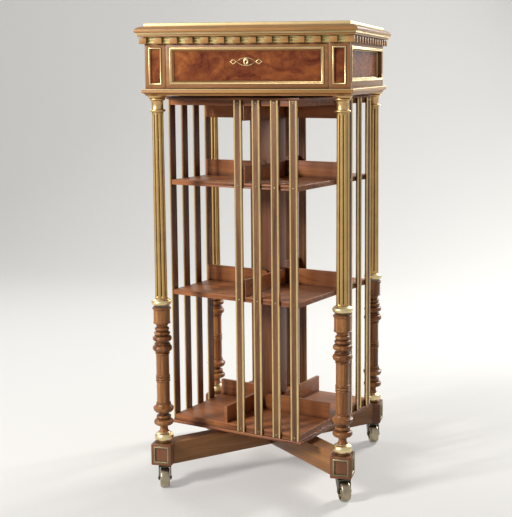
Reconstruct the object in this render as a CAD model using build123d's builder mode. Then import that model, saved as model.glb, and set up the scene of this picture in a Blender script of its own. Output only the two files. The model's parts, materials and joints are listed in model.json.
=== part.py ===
from build123d import *
import os
from math import cos, radians, sin, sqrt

# Revolving bookcase: a drawer cabinet on four columns with castors, over a book case that turns.
# Millimetres, +Z up, drawer towards -Y. The origin is on the floor, under the centre of the top.

os.makedirs("parts", exist_ok=True)

# Plan
COLUMN_SPACING = 480.0
CARCASS_WIDTH = 526.0
TOP_OVERHANG = 21.0
CASE_WIDTH = 391.2
CASE_TURN = -17.4

# Fits
RUNNING_CLEARANCE = 0.05
GLUE_CLEARANCE = 0.05
THRUST_GAP = 0.3
SLIDE_GAP = 1.0

# Castors; a heading is the way a wheel trails, in degrees from the front towards the right
WHEEL_DIAMETER = 51.0
WHEEL_WIDTH = 25.0
WHEEL_ROUNDING = 5.0
WHEEL_RECESS = 5.0
WHEEL_HUB_RADIUS = 8.0
WHEEL_RIM = 6.0
WHEEL_SIDE_GAP = 1.0
WHEEL_TOP_GAP = 1.5
AXLE_DIAMETER = 6.0
AXLE_HEAD = 1.5
FORK_CHEEK = 3.0
FORK_BOSS_RADIUS = 7.0
FORK_PLATE = 4.5
FORK_BACK = 11.0
FORK_FRONT = 18.0
CASTOR_TRAIL = 16.0
CASTOR_NECK = 4.0
CASTOR_NECK_RADIUS = 8.5
CASTOR_FLANGE_RADIUS = 17.0
CASTOR_FLANGE = 2.5
PINTLE_RADIUS = 4.5
PINTLE_HEAD_RADIUS = 6.0
PINTLE_HEAD = 1.0
CASTOR_HEADINGS = {"front_left": 19.9, "front_right": 27.0, "back_right": 20.0, "back_left": -35.0}

# Corner blocks and stretchers
BLOCK_WIDTH = 55.0
BLOCK_HEIGHT = 58.0
BLOCK_CHAMFER = 1.5
BLOCK_FRAME_WIDTH = 41.0
BLOCK_FRAME_HEIGHT = 44.0
BLOCK_FRAME_BAR = 4.0
BLOCK_PANEL_DEPTH = 2.5
BLOCK_FRAME_PROUD = 1.0
BLOCK_FRAME_BEVEL = 1.0
STRETCHER_WIDTH = 48.0
STRETCHER_CHAMFER = 2.0

# Turned legs, from the ring on the block upwards: radii, then heights
LEG_SPIGOT_RADIUS = 10.5
LEG_SPIGOT_DEPTH = 20.0
LEG_TORUS_RADIUS = 27.0
LEG_LIP_RADIUS = 25.5
LEG_CUP_RADIUS = 21.5
LEG_COLLAR_RADIUS = 20.0
LEG_SHAFT_RADIUS = 18.3
LEG_LOWER_SHAFT_RADIUS = 17.0
LEG_BALL_RADIUS = 17.5
LEG_GROOVE_RADIUS = 14.5
LEG_NECK_RADIUS = 11.5
LEG_FILLET_RADIUS = 20.5
RING_RADIUS = 25.0
RING_FOOT_RADIUS = 20.5
RING_TOP_RADIUS = 15.0
RING_FOOT = 4.0
RING_BULGE = 20.0
RING_CROWN = 4.0
LEG_NECK = 17.0
LEG_FOOT_TORUS = 16.0
LEG_NARROW_GROOVE = 4.0
LEG_BALL = 16.0
LEG_LOW_TORUS = 17.0
LEG_FILLET = 2.0
LEG_COLLAR = 5.0
LEG_LOWER_SHAFT = 57.0
LEG_RING_BEAD = 8.5
LEG_UPPER_SHAFT = 59.0
LEG_CONE = 5.0
LEG_MIDDLE_TORUS = 14.0
LEG_WIDE_GROOVE = 8.0
LEG_HIGH_TORUS = 17.0
LEG_BEAD = 13.0
LEG_CUP_FLARE = 10.0
LEG_CUP_LIP = 4.0
LEG_CUP = 31.0
LEG_CUP_TOP = 6.0

# Columns
COLUMN_BASE_HEIGHT = 17.0
COLUMN_BASE_RADIUS = 26.0
SHAFT_LENGTH = 484.0
SHAFT_FOOT_RADIUS = 16.5
SHAFT_TOP_RADIUS = 15.0
REED_COUNT = 8
REED_FOOT_RADIUS = 4.9
REED_TOP_RADIUS = 4.45
CAPITAL_ASTRAGAL = 6.0
CAPITAL_NECK = 23.0
CAPITAL_RING = 6.0
CAPITAL_CONE = 6.0
CAPITAL_NECK_RADIUS = 15.5
CAPITAL_RING_RADIUS = 20.5
CAPITAL_TOP_RADIUS = 26.0

# Cabinet
BASE_HEIGHT = 17.0
BASE_OVERHANG = 8.5
BASE_LINE_HEIGHT = 3.0
BASE_LINE_DEPTH = 6.0
BASE_COVE = 7.0
BASE_COVE_DEPTH = 2.0
BOTTOM_BOARD = 12.0
CARCASS_HEIGHT = 112.5
DENTIL_COURSE = 17.5
STEP_HEIGHT = 5.0
STEP_OVERHANG = 14.0
TOP_LINE_HEIGHT = 5.0
TOP_LINE_OVERHANG = 18.0
NOSING_HEIGHT = 16.0
NOSING_FACE = 8.0
NOSING_CHAMFER = 2.0
NOSING_DEPTH = 20.0
NOSING_SLOPE = 16.0
NOSING_SWELL = 1.5
TOP_FILLET_HEIGHT = 8.0
TOP_FILLET_DEPTH = 3.0
DENTIL_BACKING = 1.5
DENTIL_WIDTH = 19.5
DENTIL_DEPTH = 9.5
DENTIL_HEIGHT = 15.5
DENTILS_PER_SIDE = 14
POST_WIDTH = 54.0
POST_DEPTH = 22.0
RAIL_DEPTH = 28.0
FRONT_RAIL_DEPTH = 34.0
DRAWER_OPENING_HEIGHT = 110.0
SIDE_BOTTOM_RAIL = 23.0
SIDE_PANEL_HEIGHT = 74.0
SIDE_PANEL_SINK = 14.0
PANEL_BOARD = 8.0
MOULDING_PROUD = 2.5
SIDE_MOULDING = 7.0
INNER_BEAD = 3.0
FIELD_MARGIN = 17.0
FIELD_TOP_MARGIN = 13.0
FIELD_MOULDING = 6.0
FIELD_SINK = 5.0
FIELD_BEVEL = 4.0
PILASTER_MARGIN = 13.5
PILASTER_FIELD_HEIGHT = 86.0
PILASTER_MOULDING = 3.5
PILASTER_SINK = 3.5
PILASTER_BEVEL = 2.0
VENEER = 2.0

# Drawer
DRAWER_GAP = 1.0
DRAWER_FRONT = 20.0
DRAWER_SIDE = 9.0
DRAWER_SIDE_HEIGHT = 90.0
DRAWER_BOTTOM = 6.0
DRAWER_BOTTOM_LIFT = 4.0
DRAWER_BACK_DROP = 8.0
DRAWER_BACK_GAP = 16.0
GUIDE_WIDTH = 30.0
GUIDE_HEIGHT = 15.0
ESCUTCHEON = 1.5
ESCUTCHEON_LIFT = 10.0
LENS_LENGTH = 50.0
LENS_HEIGHT = 21.0
LENS_RIM = 3.0
LENS_TIP = 6.0
SHIELD_WIDTH = 13.0
SHIELD_HEIGHT = 18.0
LOZENGE_LENGTH = 19.0
LOZENGE_HEIGHT = 15.0
LOZENGE_HOLE_LENGTH = 9.0
LOZENGE_HOLE_HEIGHT = 7.0
LOZENGE_CENTRE = 33.0
KEYHOLE_RADIUS = 2.6
KEY_SLOT_WIDTH = 2.4
KEY_SLOT_LENGTH = 8.0
LOCK_WIDTH = 56.0
LOCK_HEIGHT = 60.0
LOCK_DEPTH = 10.0
BOLT_WIDTH = 22.0
BOLT_DEPTH = 5.0
BOLT_LENGTH = 26.0
BOLT_TRAVEL = 7.0
BOLT_GAP = 0.3
KEY_DEPTH = 5.0
DRAWER_LIFT = 0.3
LOCK_TOP_GAP = 2.0

# Book case
CASE_FLOOR_GAP = 18.0
CASE_TOP_GAP = 4.0
CASE_EDGE = 9.0
CASE_EDGE_OVERHANG = 7.4
CASE_EDGE_ROUNDING = 3.5
CASE_TOP_EDGE = 8.0
SHELF = 13.5
CASE_BOARD = 15.0
BOTTOM_CLEAR_HEIGHT = 333.0
MIDDLE_CLEAR_HEIGHT = 284.0
POST_SIDE = 54.0
SLAT_WIDTH = 23.0
SLAT = 5.5
SLAT_PITCH = 55.0
SLATS_PER_SIDE = 4
SLAT_FIRST = 19.5
SLAT_BEAD_WIDTH = 5.0
SLAT_BEAD = 7.0
NAIL_HEAD_RADIUS = 2.4
NAIL_HEAD = 1.4
NAIL_HEAD_ROUNDING = 1.0
NAIL_SHANK_RADIUS = 1.0
NAIL_SHANK = 14.0
NAIL_CLEARANCE = 0.15
STOP_THICKNESS = 9.0
STOP_HEIGHT = 44.0
HANGING_STOP_HEIGHT = 38.0
STOP_LENGTH = 200.0
STOP_ROUNDING = 12.0
STOP_END_GAP = 0.6

# Pivots of the book case
SPINDLE_RADIUS = 8.0
SPINDLE_LENGTH = 90.0
SPINDLE_FLANGE_RADIUS = 42.0
SPINDLE_FLANGE = 6.0
SPINDLE_COLLAR_RADIUS = 18.0
BUSH_WALL = 4.0
BUSH_LENGTH = 50.0
BUSH_FLANGE_RADIUS = 22.0
BUSH_FLANGE = 3.0
TOP_PIN_RADIUS = 7.0
TOP_PIN_LENGTH = 62.0
TOP_PLATE_RADIUS = 35.0
BORE_SPARE = 2.0

# Levels above the floor
BLOCK_BOTTOM = WHEEL_DIAMETER + WHEEL_TOP_GAP + FORK_PLATE + CASTOR_NECK
BLOCK_TOP = BLOCK_BOTTOM + BLOCK_HEIGHT
RING_TOP = BLOCK_TOP + RING_FOOT + RING_BULGE + RING_CROWN
LEG_TOP = RING_TOP + sum(
    (LEG_NECK, LEG_FOOT_TORUS, LEG_NARROW_GROOVE, LEG_BALL, LEG_NARROW_GROOVE, LEG_LOW_TORUS, LEG_FILLET,
     LEG_COLLAR, LEG_LOWER_SHAFT, 2 * LEG_RING_BEAD, LEG_UPPER_SHAFT, LEG_COLLAR, LEG_CONE, LEG_MIDDLE_TORUS,
     LEG_FILLET, LEG_WIDE_GROOVE, LEG_HIGH_TORUS, LEG_NARROW_GROOVE, LEG_BEAD, LEG_WIDE_GROOVE, LEG_CUP_FLARE,
     LEG_CUP_LIP, LEG_CUP, LEG_CUP_TOP)
)
SHAFT_FOOT = LEG_TOP + COLUMN_BASE_HEIGHT
SHAFT_TOP = SHAFT_FOOT + SHAFT_LENGTH
BASE_BOTTOM = SHAFT_TOP + CAPITAL_ASTRAGAL + CAPITAL_NECK + CAPITAL_RING + CAPITAL_CONE
BASE_TOP = BASE_BOTTOM + BASE_HEIGHT
BOARD_BOTTOM = BASE_TOP - BOTTOM_BOARD
DENTIL_BOTTOM = BASE_TOP + CARCASS_HEIGHT
STEP_BOTTOM = DENTIL_BOTTOM + DENTIL_COURSE
TOP_LINE_BOTTOM = STEP_BOTTOM + STEP_HEIGHT
TOP_BOTTOM = TOP_LINE_BOTTOM + TOP_LINE_HEIGHT
NOSING_TOP = TOP_BOTTOM + NOSING_HEIGHT
TOP = NOSING_TOP + TOP_FILLET_HEIGHT
DRAWER_OPENING_TOP = BASE_TOP + DRAWER_OPENING_HEIGHT
FIELD_HEIGHT = DRAWER_OPENING_HEIGHT - FIELD_MARGIN - FIELD_TOP_MARGIN
FIELD_LEVEL = BASE_TOP + FIELD_MARGIN + FIELD_HEIGHT / 2
CASE_BOTTOM = BLOCK_TOP + CASE_FLOOR_GAP
CASE_EDGE_TOP = CASE_BOTTOM + CASE_EDGE
BOTTOM_SHELF_TOP = CASE_EDGE_TOP + CASE_BOARD
MIDDLE_SHELF_BOTTOM = BOTTOM_SHELF_TOP + BOTTOM_CLEAR_HEIGHT
MIDDLE_SHELF_TOP = MIDDLE_SHELF_BOTTOM + SHELF
UPPER_SHELF_BOTTOM = MIDDLE_SHELF_TOP + MIDDLE_CLEAR_HEIGHT
UPPER_SHELF_TOP = UPPER_SHELF_BOTTOM + SHELF
CASE_TOP = BASE_BOTTOM - CASE_TOP_GAP
SLAT_TOP = CASE_TOP - CASE_TOP_EDGE
TOP_SHELF_BOTTOM = SLAT_TOP - CASE_BOARD

# Pivot bushes
SPINDLE_TOP = CASE_BOTTOM - BUSH_FLANGE - THRUST_GAP + SPINDLE_LENGTH
TOP_PIN_BOTTOM = BOARD_BOTTOM - TOP_PIN_LENGTH
SPINDLE_BUSH_RADIUS = SPINDLE_RADIUS + RUNNING_CLEARANCE + BUSH_WALL
PIN_BUSH_RADIUS = TOP_PIN_RADIUS + RUNNING_CLEARANCE + BUSH_WALL

# Half sizes in plan
COLUMN_OUT = COLUMN_SPACING / 2
CARCASS_OUT = CARCASS_WIDTH / 2
TOP_OUT = CARCASS_OUT + TOP_OVERHANG
CASE_OUT = CASE_WIDTH / 2
OPENING_OUT = CARCASS_OUT - POST_WIDTH
FIELD_WIDTH = 2 * (OPENING_OUT - FIELD_MARGIN)
PILASTER_FIELD_WIDTH = POST_WIDTH - 2 * PILASTER_MARGIN
SIDE_PANEL_OUT = CARCASS_OUT - POST_DEPTH
PANEL_FACE_OUT = CARCASS_OUT - SIDE_PANEL_SINK
FIELD_OUT = CARCASS_OUT - FIELD_SINK
GUIDE_INNER_OUT = CARCASS_OUT - RAIL_DEPTH - GUIDE_WIDTH

CORNERS = {
    "front_left": (-COLUMN_OUT, -COLUMN_OUT),
    "front_right": (COLUMN_OUT, -COLUMN_OUT),
    "back_right": (COLUMN_OUT, COLUMN_OUT),
    "back_left": (-COLUMN_OUT, COLUMN_OUT),
}


def front(out, level=0.0, across=0.0):
    """Upright plane facing the front, out from the centre line, with local y upwards."""
    return Plane(origin=(across, -out, level), x_dir=(1, 0, 0), z_dir=(0, -1, 0))


def side_face(out, level, right, along=0.0):
    """Upright plane facing right (right is 1) or left (right is -1), with local y upwards."""
    return Plane(origin=(right * out, along, level), x_dir=(0, right, 0), z_dir=(right, 0, 0))


def back(out, level=0.0, across=0.0):
    """Upright plane facing the back, out from the centre line, with local y upwards."""
    return Plane(origin=(across, out, level), x_dir=(-1, 0, 0), z_dir=(0, 1, 0))


def four_mitred(section):
    """Four mitred lengths round the square, from the front length's section on the YZ plane."""
    with BuildPart() as length:
        extrude(section, amount=TOP_OUT, dir=(1, 0, 0), both=True)
        for end in (-1, 1):
            mitre = Plane(origin=(0, 0, 0), z_dir=(end, 1, 0)).offset(-GLUE_CLEARANCE)
            split(bisect_by=mitre, keep=Keep.BOTTOM)
    with BuildPart() as square:
        with PolarLocations(0, 4):
            add(length.part)
    return square.part


def mitred_bars(inner, outer, bottom, top):
    """Four mitred lengths of plain rectangular section."""
    with BuildSketch(Plane.YZ) as section:
        with Locations((-inner, bottom)):
            Rectangle(outer - inner, top - bottom, align=(Align.MAX, Align.MIN))
    return four_mitred(section.sketch)


def field_frame(plane, width, height, bar, proud, sink, bevel):
    """Frame round a sunk field: a flat bar on the face, and a bevel down to the field."""
    with BuildPart() as frame:
        with BuildSketch(plane):
            Rectangle(width + 2 * bar, height + 2 * bar)
        extrude(amount=proud)
        with BuildSketch(plane):
            Rectangle(width, height)
        extrude(amount=-sink)
        with BuildSketch(plane.offset(proud)):
            Rectangle(width, height)
        with BuildSketch(plane.offset(-sink)):
            Rectangle(width - 2 * bevel, height - 2 * bevel)
        loft(mode=Mode.SUBTRACT)
    return frame.part


class Turning:
    """The outline of a turned piece, drawn upwards from (radius, level) inside a BuildLine block."""

    def __init__(self, radius, level):
        self.point = (radius, level)

    def straight(self, radius, rise=0.0):
        """Straight to another radius, rise higher up."""
        end = (radius, self.point[1] + rise)
        Line(self.point, end)
        self.point = end

    def bead(self, radius, rise):
        """Round moulding that swells to radius and comes back."""
        foot, level = self.point
        end = (foot, level + rise)
        ThreePointArc(self.point, (radius, level + rise / 2), end)
        self.point = end

    def half_round(self, radius, rise):
        """Full half circle out to radius, on a ledge."""
        foot = self.point[0]
        self.straight(radius - rise / 2)
        self.bead(radius, rise)
        self.straight(foot)


# Castors
AXLE_LEVEL = WHEEL_DIAMETER / 2
FORK_BOTTOM = WHEEL_DIAMETER + WHEEL_TOP_GAP
CHEEK_INNER = WHEEL_WIDTH / 2 + WHEEL_SIDE_GAP
FORK_OUT = CHEEK_INNER + FORK_CHEEK
AXLE_RADIUS = AXLE_DIAMETER / 2

for corner, (x, y) in CORNERS.items():
    heading = radians(CASTOR_HEADINGS[corner])
    trail = Vector(sin(heading), -cos(heading), 0)
    upright = Plane(origin=(x, y, 0), x_dir=trail, z_dir=trail.cross(Vector(0, 0, 1)))
    axle_centre = Vector(x, y, AXLE_LEVEL) + trail * CASTOR_TRAIL

    with BuildPart() as castor_fork:
        with BuildSketch(Plane(origin=(x, y, FORK_BOTTOM), x_dir=trail, z_dir=(0, 0, 1))):
            with Locations(((FORK_FRONT - FORK_BACK) / 2, 0)):
                Rectangle(FORK_FRONT + FORK_BACK, 2 * FORK_OUT)
        extrude(amount=FORK_PLATE)
        for cheek_middle in (CHEEK_INNER + FORK_CHEEK / 2, -CHEEK_INNER - FORK_CHEEK / 2):
            with BuildSketch(upright.offset(cheek_middle)):
                with Locations(((FORK_FRONT - FORK_BACK) / 2, FORK_BOTTOM + FORK_PLATE / 2)):
                    Rectangle(FORK_FRONT + FORK_BACK, FORK_PLATE)
                with Locations((CASTOR_TRAIL, AXLE_LEVEL)):
                    Circle(FORK_BOSS_RADIUS)
                make_hull()
            extrude(amount=FORK_CHEEK / 2, both=True)
        with BuildSketch(Plane(origin=(x, y, FORK_BOTTOM))):
            Circle(PINTLE_RADIUS + RUNNING_CLEARANCE)
        extrude(amount=FORK_PLATE, mode=Mode.SUBTRACT)
        with BuildSketch(upright):
            with Locations((CASTOR_TRAIL, AXLE_LEVEL)):
                Circle(AXLE_RADIUS + GLUE_CLEARANCE)
        extrude(amount=FORK_OUT, both=True, mode=Mode.SUBTRACT)
        with BuildSketch(upright):
            with Locations((CASTOR_TRAIL, AXLE_LEVEL)):
                Circle(AXLE_RADIUS)
        extrude(amount=FORK_OUT + AXLE_HEAD, both=True)
        for outward in (1, -1):
            with BuildSketch(upright.offset(outward * (FORK_OUT + GLUE_CLEARANCE))):
                with Locations((CASTOR_TRAIL, AXLE_LEVEL)):
                    Circle(AXLE_RADIUS + AXLE_HEAD)
            extrude(amount=outward * (AXLE_HEAD - GLUE_CLEARANCE))
    castor_fork.part.label = "castor_fork_" + corner
    export_step(castor_fork.part, "parts/castor_fork_" + corner + ".step")

    with BuildPart() as castor_wheel:
        with BuildSketch(Plane(origin=axle_centre, x_dir=upright.z_dir, z_dir=trail)):
            with Locations((0, AXLE_RADIUS + RUNNING_CLEARANCE)):
                Rectangle(
                    WHEEL_WIDTH,
                    AXLE_LEVEL - AXLE_RADIUS - RUNNING_CLEARANCE,
                    align=(Align.CENTER, Align.MIN),
                )
            with Locations(*((end * WHEEL_WIDTH / 2, WHEEL_HUB_RADIUS) for end in (1, -1))):
                Rectangle(
                    2 * WHEEL_RECESS,
                    AXLE_LEVEL - WHEEL_RIM - WHEEL_HUB_RADIUS,
                    align=(Align.CENTER, Align.MIN),
                    mode=Mode.SUBTRACT,
                )
        revolve(axis=Axis(axle_centre, upright.z_dir))
        rims = castor_wheel.edges().filter_by(GeomType.CIRCLE).group_by(SortBy.RADIUS)[-1]
        fillet(rims, WHEEL_ROUNDING)
    castor_wheel.part.label = "castor_wheel_" + corner
    export_step(castor_wheel.part, "parts/castor_wheel_" + corner + ".step")

with BuildPart() as castor_plate:
    with BuildSketch(Plane.XZ):
        with BuildLine():
            plate = Turning(0, FORK_BOTTOM - THRUST_GAP - PINTLE_HEAD)
            plate.straight(PINTLE_HEAD_RADIUS)
            plate.straight(PINTLE_HEAD_RADIUS, PINTLE_HEAD)
            plate.straight(PINTLE_RADIUS)
            plate.straight(PINTLE_RADIUS, FORK_PLATE + 2 * THRUST_GAP)
            plate.straight(CASTOR_NECK_RADIUS)
            plate.straight(CASTOR_NECK_RADIUS, CASTOR_NECK - THRUST_GAP)
            plate.straight(CASTOR_FLANGE_RADIUS)
            plate.straight(CASTOR_FLANGE_RADIUS, CASTOR_FLANGE)
            plate.straight(0)
            Line(plate.point, (0, FORK_BOTTOM - THRUST_GAP - PINTLE_HEAD))
        make_face()
    revolve(axis=Axis.Z)

with BuildPart() as castor_plates:
    with Locations(*CORNERS.values()):
        add(castor_plate.part)
castor_plates.part.label = "castor_plates"
export_step(castor_plates.part, "parts/castor_plates.step")

# Corner blocks, with a sunk brass frame on the two outer faces
BLOCK_OUT = COLUMN_OUT + BLOCK_WIDTH / 2
BLOCK_MIDDLE = BLOCK_BOTTOM + BLOCK_HEIGHT / 2
BLOCK_FIELD = (BLOCK_FRAME_WIDTH - 2 * BLOCK_FRAME_BAR, BLOCK_FRAME_HEIGHT - 2 * BLOCK_FRAME_BAR)
OUTER_FACES = (
    front(BLOCK_OUT, BLOCK_MIDDLE, -COLUMN_OUT),
    side_face(BLOCK_OUT, BLOCK_MIDDLE, -1, -COLUMN_OUT),
)

with BuildPart() as corner_block:
    with BuildSketch(Plane(origin=(-COLUMN_OUT, -COLUMN_OUT, BLOCK_BOTTOM))):
        Rectangle(BLOCK_WIDTH, BLOCK_WIDTH)
    extrude(amount=BLOCK_HEIGHT)
    chamfer(corner_block.faces().sort_by(Axis.Z)[0].edges(), BLOCK_CHAMFER)
    chamfer(corner_block.faces().sort_by(Axis.Z)[-1].edges(), BLOCK_CHAMFER)
    with BuildSketch(Plane(origin=(-COLUMN_OUT, -COLUMN_OUT, BLOCK_BOTTOM))):
        Circle(CASTOR_FLANGE_RADIUS + GLUE_CLEARANCE)
    extrude(amount=CASTOR_FLANGE, mode=Mode.SUBTRACT)
    with BuildSketch(Plane(origin=(-COLUMN_OUT, -COLUMN_OUT, BLOCK_TOP))):
        Circle(LEG_SPIGOT_RADIUS + GLUE_CLEARANCE)
    extrude(amount=-LEG_SPIGOT_DEPTH, mode=Mode.SUBTRACT)
    for face in OUTER_FACES:
        with BuildSketch(face):
            Rectangle(*BLOCK_FIELD)
        extrude(amount=-BLOCK_PANEL_DEPTH, mode=Mode.SUBTRACT)

with BuildPart() as corner_blocks:
    with PolarLocations(0, 4):
        add(corner_block.part)
corner_blocks.part.label = "corner_blocks"
export_step(corner_blocks.part, "parts/corner_blocks.step")

block_frame_pair = [
    field_frame(face, *BLOCK_FIELD, BLOCK_FRAME_BAR, BLOCK_FRAME_PROUD, BLOCK_PANEL_DEPTH, BLOCK_FRAME_BEVEL)
    for face in OUTER_FACES
]
with BuildPart() as block_frames:
    with PolarLocations(0, 4):
        add(block_frame_pair)
block_frames.part.label = "block_frames"
export_step(block_frames.part, "parts/block_frames.step")

# Crossed stretchers, half lapped at the centre and notched round the blocks
for name, diagonal, lap_plane, lap_way in (
    ("stretcher_lower", (1, 1, 0), BLOCK_TOP, -1),
    ("stretcher_upper", (1, -1, 0), BLOCK_BOTTOM, 1),
):
    with BuildPart() as stretcher:
        with BuildSketch(Plane(origin=(0, 0, BLOCK_BOTTOM), x_dir=diagonal, z_dir=(0, 0, 1))):
            Rectangle(2 * sqrt(2) * COLUMN_OUT, STRETCHER_WIDTH)
        extrude(amount=BLOCK_HEIGHT)
        long_edges = stretcher.edges().filter_by(Axis((0, 0, 0), diagonal)).group_by(Axis.Z)[-1]
        chamfer(long_edges, STRETCHER_CHAMFER)
        with BuildSketch(Plane(origin=(0, 0, lap_plane), x_dir=diagonal, z_dir=(0, 0, 1))):
            Rectangle(STRETCHER_WIDTH, STRETCHER_WIDTH)
        extrude(amount=lap_way * BLOCK_HEIGHT / 2, mode=Mode.SUBTRACT)
        with BuildSketch(Plane.XY.offset(BLOCK_BOTTOM)):
            with Locations(*CORNERS.values()):
                Rectangle(BLOCK_WIDTH, BLOCK_WIDTH)
        extrude(amount=BLOCK_HEIGHT, mode=Mode.SUBTRACT)
    stretcher.part.label = name
    export_step(stretcher.part, "parts/" + name + ".step")

# Turned walnut legs, with their spigot through the brass ring into the block
with BuildPart() as turned_leg:
    with BuildSketch(Plane.XZ):
        with BuildLine():
            leg = Turning(0, BLOCK_TOP - LEG_SPIGOT_DEPTH)
            leg.straight(LEG_SPIGOT_RADIUS)
            leg.straight(LEG_SPIGOT_RADIUS, LEG_SPIGOT_DEPTH + RING_TOP - BLOCK_TOP)
            leg.straight(RING_TOP_RADIUS)
            leg.straight(LEG_NECK_RADIUS, LEG_NECK / 2)
            leg.straight(LEG_NECK_RADIUS, LEG_NECK / 2)
            leg.straight(LEG_COLLAR_RADIUS)
            leg.bead(LEG_TORUS_RADIUS, LEG_FOOT_TORUS)
            leg.straight(LEG_GROOVE_RADIUS)
            leg.straight(LEG_GROOVE_RADIUS, LEG_NARROW_GROOVE)
            leg.bead(LEG_BALL_RADIUS, LEG_BALL)
            leg.straight(LEG_GROOVE_RADIUS, LEG_NARROW_GROOVE)
            leg.straight(LEG_FILLET_RADIUS)
            leg.bead(LEG_TORUS_RADIUS, LEG_LOW_TORUS)
            leg.straight(LEG_FILLET_RADIUS, LEG_FILLET)
            leg.straight(LEG_SHAFT_RADIUS)
            leg.bead(LEG_FILLET_RADIUS, LEG_COLLAR)
            leg.straight(LEG_LOWER_SHAFT_RADIUS)
            leg.straight(LEG_LOWER_SHAFT_RADIUS, LEG_LOWER_SHAFT)
            leg.bead(LEG_COLLAR_RADIUS, LEG_RING_BEAD)
            leg.bead(LEG_COLLAR_RADIUS, LEG_RING_BEAD)
            leg.straight(LEG_SHAFT_RADIUS)
            leg.straight(LEG_SHAFT_RADIUS, LEG_UPPER_SHAFT)
            leg.bead(LEG_COLLAR_RADIUS, LEG_COLLAR)
            leg.straight(LEG_LOWER_SHAFT_RADIUS)
            leg.straight(LEG_FILLET_RADIUS, LEG_CONE)
            leg.bead(LEG_LIP_RADIUS, LEG_MIDDLE_TORUS)
            leg.straight(LEG_FILLET_RADIUS, LEG_FILLET)
            leg.straight(LEG_GROOVE_RADIUS)
            leg.straight(LEG_GROOVE_RADIUS, LEG_WIDE_GROOVE)
            leg.straight(LEG_FILLET_RADIUS)
            leg.bead(LEG_TORUS_RADIUS, LEG_HIGH_TORUS)
            leg.straight(LEG_GROOVE_RADIUS)
            leg.straight(LEG_GROOVE_RADIUS, LEG_NARROW_GROOVE)
            leg.bead(LEG_COLLAR_RADIUS, LEG_BEAD)
            leg.straight(LEG_GROOVE_RADIUS, LEG_WIDE_GROOVE)
            leg.straight(LEG_LOWER_SHAFT_RADIUS)
            leg.straight(LEG_CUP_RADIUS, LEG_CUP_FLARE)
            leg.half_round(LEG_LIP_RADIUS, LEG_CUP_LIP)
            leg.straight(LEG_CUP_RADIUS, LEG_CUP)
            leg.half_round(LEG_LIP_RADIUS, LEG_CUP_TOP)
            leg.straight(0)
            Line(leg.point, (0, BLOCK_TOP - LEG_SPIGOT_DEPTH))
        make_face()
    revolve(axis=Axis.Z)

# Reeded brass shafts, tapering upwards
with BuildPart() as reeded_shaft:
    for level, radius, reed_radius in (
        (SHAFT_FOOT, SHAFT_FOOT_RADIUS, REED_FOOT_RADIUS),
        (SHAFT_TOP, SHAFT_TOP_RADIUS, REED_TOP_RADIUS),
    ):
        with BuildSketch(Plane.XY.offset(level)):
            with PolarLocations(radius - reed_radius, REED_COUNT):
                Circle(reed_radius)
            Circle(radius - reed_radius)
    loft(ruled=True)

for corner, axis_point in CORNERS.items():
    with BuildPart() as corner_leg:
        with Locations(axis_point):
            add(turned_leg.part)
    corner_leg.part.label = "leg_" + corner
    export_step(corner_leg.part, "parts/leg_" + corner + ".step")

    with BuildPart() as corner_shaft:
        with Locations(axis_point):
            add(reeded_shaft.part)
    corner_shaft.part.label = "column_shaft_" + corner
    export_step(corner_shaft.part, "parts/column_shaft_" + corner + ".step")

# Brass rings under and over the legs, and the capitals
with BuildPart() as leg_ring:
    with BuildSketch(Plane.XZ):
        with BuildLine():
            ring = Turning(LEG_SPIGOT_RADIUS + GLUE_CLEARANCE, BLOCK_TOP)
            ring.straight(RING_FOOT_RADIUS)
            ring.straight(RING_FOOT_RADIUS, RING_FOOT)
            ring.bead(RING_RADIUS, RING_BULGE)
            ring.straight(RING_TOP_RADIUS, RING_CROWN)
            ring.straight(LEG_SPIGOT_RADIUS + GLUE_CLEARANCE)
            Line(ring.point, (LEG_SPIGOT_RADIUS + GLUE_CLEARANCE, BLOCK_TOP))
        make_face()
    revolve(axis=Axis.Z)

with BuildPart() as column_base:
    with BuildSketch(Plane.XZ):
        with BuildLine():
            base = Turning(0, LEG_TOP)
            base.straight(LEG_CUP_RADIUS)
            base.bead(COLUMN_BASE_RADIUS, COLUMN_BASE_HEIGHT - LEG_FILLET)
            base.straight(SHAFT_FOOT_RADIUS + LEG_FILLET)
            base.straight(SHAFT_FOOT_RADIUS + LEG_FILLET, LEG_FILLET)
            base.straight(0)
            Line(base.point, (0, LEG_TOP))
        make_face()
    revolve(axis=Axis.Z)

with BuildPart() as capital:
    with BuildSketch(Plane.XZ):
        with BuildLine():
            turned = Turning(0, SHAFT_TOP)
            turned.straight(CAPITAL_NECK_RADIUS)
            turned.half_round(CAPITAL_RING_RADIUS, CAPITAL_ASTRAGAL)
            turned.straight(CAPITAL_NECK_RADIUS, CAPITAL_NECK)
            turned.half_round(CAPITAL_RING_RADIUS, CAPITAL_RING)
            turned.straight(CAPITAL_RING_RADIUS)
            turned.straight(CAPITAL_TOP_RADIUS, CAPITAL_CONE)
            turned.straight(0)
            Line(turned.point, (0, SHAFT_TOP))
        make_face()
    revolve(axis=Axis.Z)

with BuildPart() as column_rings:
    with Locations(*CORNERS.values()):
        add([leg_ring.part, column_base.part])
column_rings.part.label = "column_rings"
export_step(column_rings.part, "parts/column_rings.step")

with BuildPart() as capitals:
    with Locations(*CORNERS.values()):
        add(capital.part)
capitals.part.label = "capitals"
export_step(capitals.part, "parts/capitals.step")

# Base of the cabinet
BASE_NOSE_OUT = CARCASS_OUT + BASE_OVERHANG
BASE_LINE_BOTTOM = BASE_TOP - BASE_LINE_HEIGHT
BASE_LINE_INNER = BASE_NOSE_OUT - BASE_LINE_DEPTH

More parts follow.
